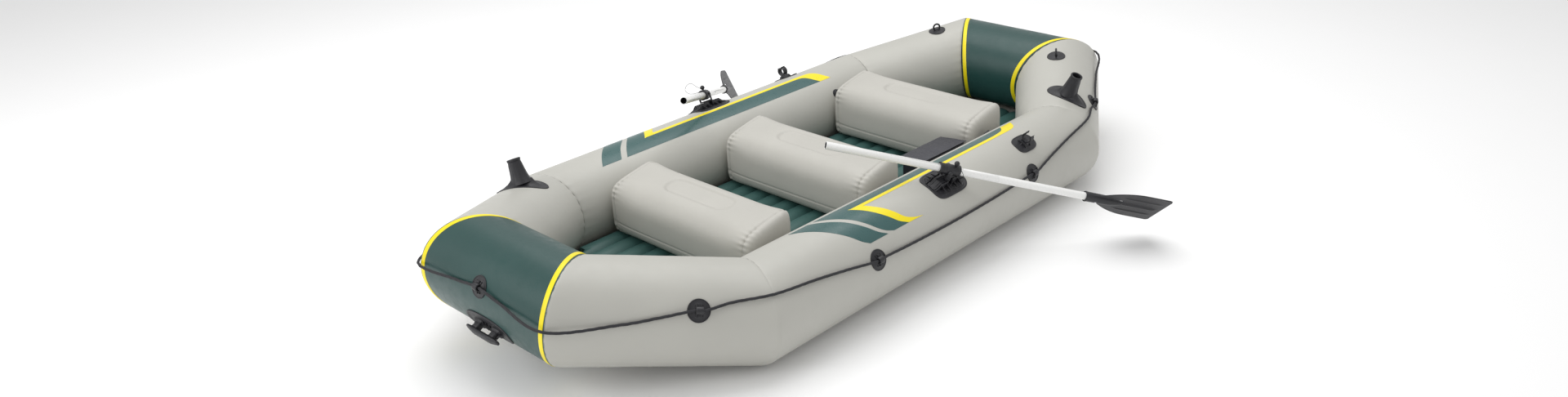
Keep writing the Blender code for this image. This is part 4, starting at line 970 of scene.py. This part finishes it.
def make_tie_down_rings():
    station, angle = RING_SPOT
    turns = np.linspace(0, 2 * math.pi, 49)[:-1]
    ring = mm(np.column_stack([15.5 * np.cos(turns), np.zeros(48), 17.5 + 15.5 * np.sin(turns)]))
    for side in SIDES:
        panel = PANELS[panel_at("stern_quarter", side)]
        shape = Shape().pad(circle(0.04), [
            (1.0, -1.2), (1.0, 1.8), (0.985, 3.2), (0.95, 3.8), (0.92, 3.4), (0.89, 2.4), (0.55, 2.4),
            (0.42, 4), (0.25, 4.6), (0.02, 4.6)], hugging(panel.radius(panel.distance(station))))
        shape.tube(ring, 0.0044, 14, loop=True)
        shape.block((24, 13, 9), (0, 0, 4.5), 0.28, 0.8)
        shape.piece(f"tie_down_{side}", PLASTIC, "boat", f"tie_down_ring_{side}",
                    matrix=panel.frame(station, angle))


def make_rod_holders():
    for name, side, place, station, angle, twist in ROD_SPOTS:
        panel = PANELS[panel_at(place, side)]
        frame_at = panel.frame(station, angle) @ turn_about("Z", 90 + twist)
        lean = np.array([SIDES[side] * math.sin(ROD_LEAN), 0, math.cos(ROD_LEAN)])
        local = Vector(np.linalg.inv(frame_at[:3, :3]) @ lean)
        tilt = np.array(local.to_track_quat("Z", "Y").to_matrix().to_4x4())
        shape = Shape().pad(oval(0.19, 0.1, 80), [
            (1.0, -1.2), (1.0, 1.4), (0.988, 2.8), (0.965, 3.2), (0.94, 2.6), (0.93, 2), (0.8, 2.2),
            (0.66, 4.8), (0.54, 10), (0.44, 17), (0.36, 26), (0.25, 27), (0.02, 27)],
            hugging(panel.radius(panel.distance(station)), 90 + twist))
        outside = mm([(18.5, 12), (40.5, 4), (37.5, 12), (34, 24), (30.5, 40), (27.8, 58), (25.6, 76),
                      (24.2, 88), (24, 90.5), (25.5, 92), (25.8, 98.5), (24.8, 100.2), (20.5, 100.4),
                      (19, 99), (18.7, 70), (18.5, 30)])
        shape.lathe(outside, tilt, 64, closed=True, ribs=8, rib_depth=0.0012, rib_span=(0.01, 0.085))
        shape.lathe(mm([(0.1, 31), (18.9, 30), (18.9, 24), (0.1, 23)]), tilt, 40)
        shape.piece(f"{name}_body", PLASTIC, "boat", name, 40, frame_at)


def clip_outline():
    """The clip's open ring, seen along the tube: (across, up) points round its outside, then its bore."""
    centre, bore, outer = 34.0, 15.8, 20.6
    outside, inside = np.radians(np.linspace(52, -232, 40)), np.radians(np.linspace(-228, 48, 36))
    lips = [(14.2, centre + 17.8), (15.0, centre + 19.5), (12.8, centre + 19.6)]
    points = lips[::-1] + [(outer * math.cos(t), centre + outer * math.sin(t)) for t in outside]
    points += [(-x, z) for x, z in lips]
    points += [(bore * math.cos(t), centre + bore * math.sin(t)) for t in inside]
    return points[::-1]


def make_oar_clips():
    station, angle = CLIP_SPOT
    for side in SIDES:
        shape = Shape().pad(oval(0.12, 0.08, 72, 3.0), edge_heights(3.4, 0.1, 1.2), hugging(SIDE_RADIUS))
        shape.plate(clip_outline(), 0, 12, STAND_YZ, 0.9)
        foot = [(-18.5, 0.5), (18.5, 0.5), (13.5, 16), (10, 19.5), (-10, 19.5), (-13.5, 16)]
        shape.plate(foot, 0, 11.8, STAND_YZ, 1)
        for place in (-16.5, 16.5):
            shape.plate([(-24, 0.5), (24, 0.5), (13, 13), (-13, 13)], place, 1.6, STAND_YZ, 0.5)
        shape.plate([(-34, 0.5), (34, 0.5), (20, 7.5), (-20, 7.5)], 0, 2.2, STAND_XZ, 0.5)
        shape.piece(f"clip_{side}", PLASTIC, "boat", f"oar_clip_{side}",
                    matrix=PANELS[panel_at("side", side)].frame(station, angle))


def make_tow_handle():
    """A cleat: a grip whose two ends narrow to horns, on two feet."""
    shape = Shape().pad(oval(0.24, 0.1, 96, 2.6), edge_heights(3.6, 0.09, 1.4), hugging(BOW_RADIUS))
    rows = []
    for share in np.linspace(-1, 1, 61):
        horn = max(0.0, (abs(share) - 0.45) / 0.55)
        size = 1.0 - 0.55 * horn ** 1.6
        if abs(share) > 0.94:
            size *= math.sqrt(max(0.02, 1 - ((abs(share) - 0.94) / 0.06) ** 2))
        ring = oval(36 * size, 18 * size, 24, 2.4)
        rows.append(mm(np.column_stack([np.full(24, share * 88), ring[:, 0], 34.5 - 3 * horn + ring[:, 1]])))
    shape.grid(rows)
    for way in (-1, 1):
        shape.block((26, 24, 34), (way * 46, 0, 17.5), 0.25, 1.12)
        shape.block((44, 38, 9), (way * 48, 0, 5), 0.3, 0.8)
        x = way * 52
        shape.plate([(x - 30, 1), (x + 30, 1), (x + 10, 22), (x - 10, 22)], 0, 1.8, STAND_XZ, 0.5)
    for place in (-18, 0, 18):
        shape.block((4, 46, 3.2), (place, 0, 3.8))
    shape.piece("tow_cleat", PLASTIC, "boat", "tow_handle", matrix=PANELS["bow_tube"].frame(*TOW_SPOT))


# ---- Oarlocks and oars ----
class Oar:
    """The frames of one oar, as in the CAD: Z along the shaft to the blade and Y along the trunnions."""

    def __init__(self, side):
        self.side, self.sign = side, SIDES[side]
        panel = PANELS[panel_at("side", side)]
        self.base = panel.frame(*LOCK_SPOT)
        self.normal = self.base[:3, 2]
        self.centre = self.base[:3, 3] + self.normal * COLLAR_HEIGHT
        x, y, z = OAR_DIRECTION
        self.way = unit((x * self.sign, y, z))
        self.trunnion = unit(np.cross(self.way, self.normal))
        self.frame = framed(np.cross(self.trunnion, self.way), self.trunnion, self.way, self.centre)
        self.rolled = self.frame @ turn_about("Z", self.sign * BLADE_ROLL[side])
        self.yoke = framed(np.cross(self.trunnion, self.normal), self.trunnion, self.normal, self.base[:3, 3])


OARS = {side: Oar(side) for side in SIDES}


def make_tether(oar):
    """The thin cord from the lock pin's knob to the collar."""
    side = oar.side
    route = mm(TETHER_ROUTES[side])
    lowest = route[-3:, 0].min()
    path = smooth_route(placed(route * (1, oar.sign, 1), oar.frame), 6)
    tether = Shape().tube(path, TETHER_RADIUS, 10).piece(
        f"tether_{side}", WIRE, None, f"pin_tether_{side}", 70)
    placed([(lowest, 0, 0.02)], oar.frame)[0]
    placed([(0.033, 0, 0.02)], oar.frame)[0]
    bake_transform(tether)


def make_oarlock(oar):
    side, bend = oar.side, hugging(SIDE_RADIUS)
    shape = Shape().pad(oval(0.19, 0.13, 96, 4.0), edge_heights(3.6, 0.085, 1.4), bend)
    shape.pad(oval(0.166, 0.106, 96, 4.2), [(1.0, 1), (1.0, 2.2), (0.985, 3), (0.965, 3), (0.95, 2.2),
                                            (0.6, 2.2), (0.02, 2.2)], bend)
    ramp = [(10.8, 0.5), (84, 0.5), (84, 4), (66, 8), (50, 21.5), (10.8, 22.5)]
    fin = [(11, 0.5), (86.5, 0.5), (86, 3.6), (68, 9.2), (51.5, 23.6), (11, 24)]
    rib = [(24.5, 0.5), (52, 0.5), (52, 2.6), (24.5, 15)]
    for way in (-1, 1):
        shape.plate(mirrored(ramp, way), 0, 18.5, STAND_XZ, 1.2)
        for place in (-23.5, -8.5, 8.5, 23.5):
            shape.plate(mirrored(fin, way), place, 1.4, STAND_XZ, 0.6)
        for place, height in ((30, 24), (49.5, 23.5), (70, 8.5)):
            shape.block((2.6, 47, height - 2), (way * place, 0, height / 2 - 1))
        for across in (-1, 1):
            for place in (20, 48):
                shape.plate(mirrored(rib, across), way * place, 1.3, STAND_YZ, 0.5)
    shape.lathe(mm([(15.6, 1), (19, 1), (18.8, 7), (18, 7.8), (16.4, 7.8), (15.6, 7)]), closed=True)
    shape.piece(f"lock_base_{side}", PLASTIC, "boat", f"oarlock_base_{side}", matrix=oar.base)

    yoke = Shape().lathe(mm([(0.1, 26.8), (12, 26.6), (14.3, 25.8), (14.5, 24), (14.5, 6.5), (13.5, 5.2),
                             (0.1, 5.2)]))
    yoke.block((18, 55, 5), (0, 0, 27.2))
    eye = np.linspace(-0.4, math.pi + 0.4, 22)
    arm = [(-8.8, 26.2), (8.8, 26.2), (8.6, 48)]
    arm += [(9.2 * math.cos(t), 1000 * COLLAR_HEIGHT + 9.2 * math.sin(t)) for t in eye] + [(-8.6, 48)]
    for way in (-1, 1):
        yoke.plate(arm, -way * 24.85, 2.65, STAND_XZ, 1)
        yoke.lathe(mm([(0.1, 0), (5.2, 0), (5.8, 0.6), (5, 1.6), (0.1, 2)]),
                   shifted(0, way * 0.0273, COLLAR_HEIGHT) @ turn_about("X", -90 * way), 32)
        yoke.plate([(-1.6, 29), (1.6, 29), (1.6, 44), (-1.6, 44)], -way * 21.6, 0.6, STAND_XZ, 0.3)
    yoke.piece(f"lock_yoke_{side}", PLASTIC, f"yoke_{side}", f"oarlock_yoke_{side}", matrix=oar.yoke)


def make_collar(oar):
    side = oar.side
    outside = mm([(15, -39), (15.8, -40.2), (21.5, -40.2), (22.5, -39.2), (22.5, -35.8), (21.5, -34.5),
                  (20.4, -33.8), (20, -20), (20, -12), (20.9, -11.2), (21, 10), (21, 33), (22.2, 34.5),
                  (22.4, 38.5), (21.2, 40), (15.8, 40.2), (15, 39)])
    shape = Shape().lathe(outside, None, 72, closed=True)
    for place in (-26.5, -16):
        rib = mm([(19.6, place - 1.4), (20.8, place - 1), (20.8, place + 1), (19.6, place + 1.4)])
        shape.lathe(rib, None, 72, closed=True)
    for way in (-1, 1):
        shape.lathe(mm([(0.1, 0), (4, 0), (4, 11.8), (0.1, 11.8)]),
                    shifted(0, way * 0.0154, 0) @ turn_about("X", -90 * way), 32)
    boss = shifted(z=PIN_PLACE) @ ALONG_X
    shape.lathe(mm([(3.6, 17), (8.8, 17), (8.4, 20.5), (6.4, 21.6), (3.6, 21.6)]), boss, 40, closed=True)
    shape.plate([(-8.5, 16), (8.5, 16), (6, 23.8), (-6, 23.8)], 0, 3,
                shifted(z=0.032) @ turn_about("Z", 125 * oar.sign) @ np.eye(4)[[1, 0, 2, 3]], 0.8)
    shape.piece(f"collar_{side}", PLASTIC, f"oar_{side}", f"oar_collar_{side}", matrix=oar.frame)

    knob = [(max(0.1, 10 * math.sin(t)), 33 + 10 * math.cos(t)) for t in np.linspace(0, math.pi, 17)[:-2]]
    knob += [(4.5, 23.8), (4.5, 22.2), (3, 22), (2.9, 9.8), (0.1, 8.5)]
    Shape().lathe(mm(knob), boss, 40, ribs=10, rib_depth=0.0004, rib_span=(0.0285, 0.0375)).piece(
        f"pin_{side}", PLASTIC, f"lock_pin_{side}", f"lock_pin_{side}", matrix=oar.frame)


def drilled(obj, shape, matrix):
    """Cuts the shape from a piece and keeps the result as its mesh."""
    cutter = shape.piece(f"{obj.name}_cutter", STEEL, None, matrix=matrix)
    cut = obj.modifiers.new("Cut", "BOOLEAN")
    cut.operation, cut.object, cut.solver = "DIFFERENCE", cutter, "EXACT"
    graph = bpy.context.evaluated_depsgraph_get()
    done = bpy.data.meshes.new_from_object(obj.evaluated_get(graph))
    obj.modifiers.remove(cut)
    old, obj.data = obj.data, done
    bpy.data.meshes.remove(old)
    bpy.data.objects.remove(cutter, do_unlink=True)


def drill(radius):
    return Shape().lathe(mm([(0.1, 30), (radius, 30), (radius, 4), (0.1, 4)]))


SHAFT_WALL = 0.0017


def make_shafts(oar):
    side, rides = oar.side, f"oar_{oar.side}"
    bore, spigot = SHAFT_RADIUS - SHAFT_WALL, SHAFT_RADIUS - SHAFT_WALL - 0.0006
    handle = Shape().lathe([
        (bore, HANDLE_END + 0.0006), (bore + 0.0006, HANDLE_END), (SHAFT_RADIUS - 0.0006, HANDLE_END),
        (SHAFT_RADIUS, HANDLE_END + 0.0008), (SHAFT_RADIUS, SHAFT_JOINT - 0.0008),
        (SHAFT_RADIUS - 0.0005, SHAFT_JOINT), (spigot + 0.0001, SHAFT_JOINT), (spigot, SPIGOT_END),
        (spigot - SHAFT_WALL, SPIGOT_END), (spigot - SHAFT_WALL, SHAFT_JOINT - 0.045),
        (bore, SHAFT_JOINT - 0.055)], None, 72, closed=True)
    # Painted shade: a dark lining in slot 1, and a dark disc 55 mm into the open end, stand in for the shade
    # inside the tube.
    handle.lathe([(bore - 0.0001, HANDLE_END + 0.06), (bore - 0.0003, HANDLE_END + 0.0015),
                  (bore - 0.0009, HANDLE_END + 0.0012), (bore - 0.0014, HANDLE_END + 0.06)],
                 closed=True, slot=1)
    handle.lathe([(0.0001, HANDLE_END + 0.055), (bore - 0.0002, HANDLE_END + 0.056),
                  (bore - 0.0002, HANDLE_END + 0.06), (0.0001, HANDLE_END + 0.061)], slot=1)
    inner = handle.piece(f"inner_shaft_{side}", [TUBE_WHITE, BORE_PAINTED_SHADE], rides, f"handle_shaft_{side}",
                         matrix=oar.frame)
    button_at = oar.frame @ shifted(z=BUTTON_PLACE) @ turn_about("X", 90 * oar.sign)
    drilled(inner, drill(3.6), oar.frame @ shifted(z=PIN_PLACE) @ ALONG_X)
    drilled(inner, drill(4.4), button_at)
    outer = Shape().lathe([
        (bore, SHAFT_JOINT + 0.0012), (bore + 0.0004, SHAFT_JOINT + 0.0004),
        (SHAFT_RADIUS - 0.0006, SHAFT_JOINT + 0.0004), (SHAFT_RADIUS, SHAFT_JOINT + 0.0012),
        (SHAFT_RADIUS, SHAFT_END), (bore, SHAFT_END)], None, 72, closed=True)
    drilled(outer.piece(f"outer_shaft_{side}", TUBE_WHITE, rides, f"blade_shaft_{side}", matrix=oar.frame),
            drill(4.4), button_at)
    dome = SHAFT_RADIUS + 0.0022
    button = [(0.0001, dome), (0.0014, dome - 0.0002), (0.0026, dome - 0.0007), (0.0035, dome - 0.0014),
              (0.004, dome - 0.0024), (0.004, 0.0066), (0.0001, 0.0066)]
    Shape().lathe(button, None, 32).piece(
        f"button_{side}", STEEL, f"snap_button_{side}", f"snap_button_{side}", matrix=button_at)
    head = SOCKET_RADIUS + 0.0004
    rivet = [(0.0001, head + 0.0014), (0.0018, head + 0.0012), (0.0033, head + 0.0007),
             (0.0042, head - 0.0001), (0.0036, head - 0.0008), (0.002, head - 0.0012)]
    rivet += [(radius, -z) for radius, z in reversed(rivet)]
    Shape().lathe(rivet, shifted(z=RIVET_PLACE) @ turn_about("X", 90), 32).piece(
        f"rivet_{side}", STEEL, rides, f"blade_rivet_{side}", matrix=oar.rolled)


def blade_half_width(share):
    return 0.016 + (BLADE_HALF_WIDTH - 0.016) * math.sin(min(1.0, share / 0.62) * math.pi / 2) ** 0.85


def make_blade(oar):
    side = oar.side
    neck, corner = SOCKET_START + 0.045, 0.014
    length = BLADE_TIP - neck
    columns = np.linspace(-1, 1, 65)
    rows = []
    stations = np.concatenate([np.linspace(0, length - corner, 44),
                               length - corner + corner * np.sin(np.linspace(0, math.pi / 2, 8))[1:]])
    for place in stations:
        half = blade_half_width(place / length)
        into = max(0.0, place - (length - corner))
        half -= corner - math.sqrt(max(corner ** 2 - into ** 2, 0.0)) if into else 0.0
        x = columns * half
        thick = 0.0018 + 0.0004 * (1 - np.abs(columns)) * (1 - smoothstep(length - 0.012, length, place))
        thick *= np.sqrt(1 - np.clip((np.abs(columns) - 0.97) / 0.031, 0, 1) ** 2)
        run = smoothstep(0.095, 0.12, place) * (1 - smoothstep(length - 0.035, length - 0.015, place))
        for spot, width, rise in ((0.0, 0.0055, 0.0048), (-0.048, 0.004, 0.0026), (0.048, 0.004, 0.0026)):
            thick = thick + rise * run * np.exp(-((x - spot) / width) ** 4)
        rim = smoothstep(half - 0.0075, half - 0.0055, np.abs(x)) * smoothstep(0.03, 0.06, place)
        thick = thick + 0.0007 * rim * (1 - smoothstep(0.955, 0.995, np.abs(columns)))
        front = np.column_stack([x, thick, np.full_like(x, neck + place)])
        back = np.column_stack([x, -thick, np.full_like(x, neck + place)])[::-1]
        rows.append(np.concatenate([front, back]))
    blade = Shape().grid(rows).piece(
        f"blade_{side}", PLASTIC, f"oar_{side}", f"oar_blade_{side}", 50, oar.rolled, weld=0.00002)
    drilled(blade, Shape().plate(rounded(10, 52, 4.9, 6), 0, 30, shifted(0.0185, 0, neck + 0.085) @ STAND_XZ,
                                 0.4), oar.rolled)
    socket = Shape().lathe([
        (0.0149, SOCKET_START + 0.001), (0.0156, SOCKET_START), (0.0196, SOCKET_START),
        (0.0202, SOCKET_START + 0.001), (0.0202, SOCKET_START + 0.006), (0.0192, SOCKET_START + 0.0075),
        (0.0188, SOCKET_START + 0.03), (0.0188, SHAFT_END + 0.004), (0.017, SHAFT_END + 0.022),
        (0.0132, SHAFT_END + 0.045), (0.0085, SHAFT_END + 0.066), (0.0045, SHAFT_END + 0.08),
        (0.001, SHAFT_END + 0.084), (0.0008, SHAFT_END + 0.002), (0.0148, SHAFT_END + 0.001)],
        None, 64, closed=True)
    for way in (-1, 1):
        socket.plate(mirrored([(15, -30), (26, 12), (34, 50), (12, 60)], way), 0, 2.8,
                     shifted(z=neck) @ STAND_XZ, 0.9)
    socket.piece(f"blade_socket_{side}", PLASTIC, f"oar_{side}", matrix=oar.rolled)


# ---- Pouch and valves ----
def make_pouch():
    (low_x, high_x), (low_y, high_y) = POUCH_X, POUCH_Y
    inner_top, outer_top = POUCH_TOP
    bottom = FLOOR_TOP + 0.0004
    centre_x, centre_y = (low_x + high_x) / 2, (low_y + high_y) / 2
    depth, width = high_x - low_x, high_y - low_y
    rows = []
    for wall, levels in ((0.0, np.linspace(0, 1, 22)), (0.0022, np.linspace(1, 0.02, 20))):
        for level in levels:
            outline = np.array(rounded(depth - 2 * wall, width - 2 * wall, 0.014 - wall, 8))
            sag = math.sin(level * math.pi) ** 0.8
            x, y = outline[:, 0], outline[:, 1]
            front = np.clip(-x / (depth / 2), 0, 1)
            ends = np.clip(np.abs(y) / (width / 2), 0, 1) ** 6
            fold = 0.0014 * np.sin(y * 95 + 9 * level) * sag * front
            x = x + 0.012 * front * (1 - level) - 0.0045 * sag * front * (1 - ends) + fold
            y = y + np.sign(y) * 0.0025 * sag * ends * (1 - front)
            top = outer_top + (inner_top - outer_top) * (0.5 - x / depth) - 0.004
            rows.append(np.column_stack([centre_x + x, centre_y + y, bottom + level * (top - bottom)]))
    Shape().grid(rows).piece("pouch_bag", LID, "boat", "pouch_body", 60)

    slope = (outer_top - inner_top) / depth
    edge = low_x - 0.006
    rows = []
    across = np.linspace(high_x + 0.002, edge, 26)
    profile = [(x, outer_top - (high_x - x) * slope + 0.0015, 0.0) for x in across]
    profile += [(edge - 0.0022 - 0.004 * t, inner_top - 0.006 * slope - 0.003 - 0.0245 * t, 1.0)
                for t in np.linspace(0.05, 1, 10)]
    profile = np.array(profile)
    ways = np.gradient(profile[:, :2], axis=0)
    normals = np.column_stack([ways[:, 1], -ways[:, 0]])
    normals = normals / np.linalg.norm(normals, axis=1)[:, None]
    if normals[0, 1] < 0:
        normals = -normals
    for y in np.linspace(low_y - 0.005, high_y + 0.005, 44):
        share = (y - centre_y) / (width / 2)
        arch = np.sin(np.clip(np.linspace(0, 1.25, len(profile)), 0, 1) * math.pi)
        crown = 0.0022 * (1 - share ** 2) * arch
        ripple = 0.0005 * np.sin(70 * y + 24 * profile[:, 0]) * math.sqrt(max(0.0, 1 - abs(share)))
        lift = (crown + ripple)[:, None] * normals
        outer = profile[:, :2] + lift + normals * 0.0009
        inner = profile[:, :2] + lift - normals * 0.0009
        ring = np.concatenate([outer, inner[::-1]])
        rows.append(np.column_stack([ring[:, 0], np.full(len(ring), y), ring[:, 1]]))
    Shape().grid(rows).piece("pouch_flap", LID, "pouch_lid", "pouch_lid", 50)


VALVE_BODY = mm([(10, 8.8), (10.6, 9.2), (13.2, 9), (13.5, 8.4), (13.5, 3), (15, 2.4), (21.2, 2), (22, 1.4),
                 (22, -1.2), (10, -1.2)])
VALVE_CAP = mm([(0.1, 13.4), (8, 13.6), (9.2, 14.2), (14.4, 14.2), (15.6, 13.6), (16, 12.4), (16, 4.5),
                (16.4, 3.3), (14.1, 3.3), (14, 9.4), (0.1, 9.4)])


def make_valves():
    for side in SIDES:
        at = PANELS[panel_at("side", side)].frame(*VALVE_SPOT)
        Shape().lathe(VALVE_BODY, None, 56, closed=True).piece(
            f"valve_{side}", PLASTIC, "boat", f"hull_valve_{side}", matrix=at)
        Shape().lathe(VALVE_CAP, None, 96, ribs=24, rib_depth=0.0006, rib_span=(0.0044, 0.0126)).piece(
            f"valve_cap_{side}", PLASTIC, f"valve_cap_{side}", f"hull_valve_cap_{side}", matrix=at)
    valve = Shape().lathe([(radius, max(z, 0.0001)) for radius, z in VALVE_BODY], None, 56, closed=True)
    valve.lathe(mm([(0.1, 7), (8, 7), (8.4, 8.6), (10.2, 9), (10.2, 9.8), (6, 10.4), (0.1, 10.6)]), None, 40)
    valve.tube(smooth_route(mm([(10, 0, 10), (18, 1, 10.4), (21.5, 2, 7), (20, 2, 3)]), 8), 0.0014, 12)
    valve.piece("floor_plug", CLEAR, "boat", "floor_valve", matrix=shifted(*FLOOR_VALVE, FLOOR_TOP))


# ---- Stage and light ----
STAGE_REACH, STAGE_HEIGHT = 40.0, -0.0005


def make_stage():
    mesh = bpy.data.meshes.new("floor")
    corners = [(-1, -1), (1, -1), (1, 1), (-1, 1)]
    points = [(STAGE_REACH * x, STAGE_REACH * y, STAGE_HEIGHT) for x, y in corners]
    mesh.from_pydata(points, [], [(0, 1, 2, 3)])
    floor = bpy.data.objects.new("studio_floor", mesh)
    mesh.materials.append(finish("studio_floor", (0.97, 0.97, 0.97), 0.9, 0.004, 0.6, 60.0, 0.00002))
    bpy.context.scene.collection.objects.link(floor)


def area_light(name, place, target, size, power):
    data = bpy.data.lights.new(name, "AREA")
    data.shape, data.size, data.size_y, data.energy = "RECTANGLE", size[0], size[1], power
    light = bpy.data.objects.new(name, data)
    bpy.context.scene.collection.objects.link(light)
    light.location = place
    light.rotation_euler = (Vector(target) - Vector(place)).to_track_quat("-Z", "Y").to_euler()


def make_light():
    world = bpy.data.worlds.new("studio")
    world.use_nodes = True
    background = world.node_tree.nodes["Background"]
    background.inputs["Color"].default_value = (1.0, 1.0, 1.0, 1.0)
    background.inputs["Strength"].default_value = 0.65
    bpy.context.scene.world = world
    area_light("overhead", (-0.8, 0.6, 4.6), (0, 0, 0), (5.0, 5.0), 150)
    area_light("front", (-1.6, -5.4, 3.4), (0, 0, 0.2), (4.0, 3.0), 110)
    bpy.context.scene.view_settings.view_transform = "Standard"


for oar in OARS.values():
    make_tether(oar)
make_hull()
make_piping()
make_stripes()
make_bottom_sheet()
make_floor()
for seat in SEATS:
    make_seat(*seat)
make_grab_line()
make_guides()
make_tie_down_rings()
make_rod_holders()
make_oar_clips()
make_tow_handle()
for oar in OARS.values():
    make_oarlock(oar)
    make_collar(oar)
    make_shafts(oar)
    make_blade(oar)
make_pouch()
make_valves()
make_stage()
make_light()
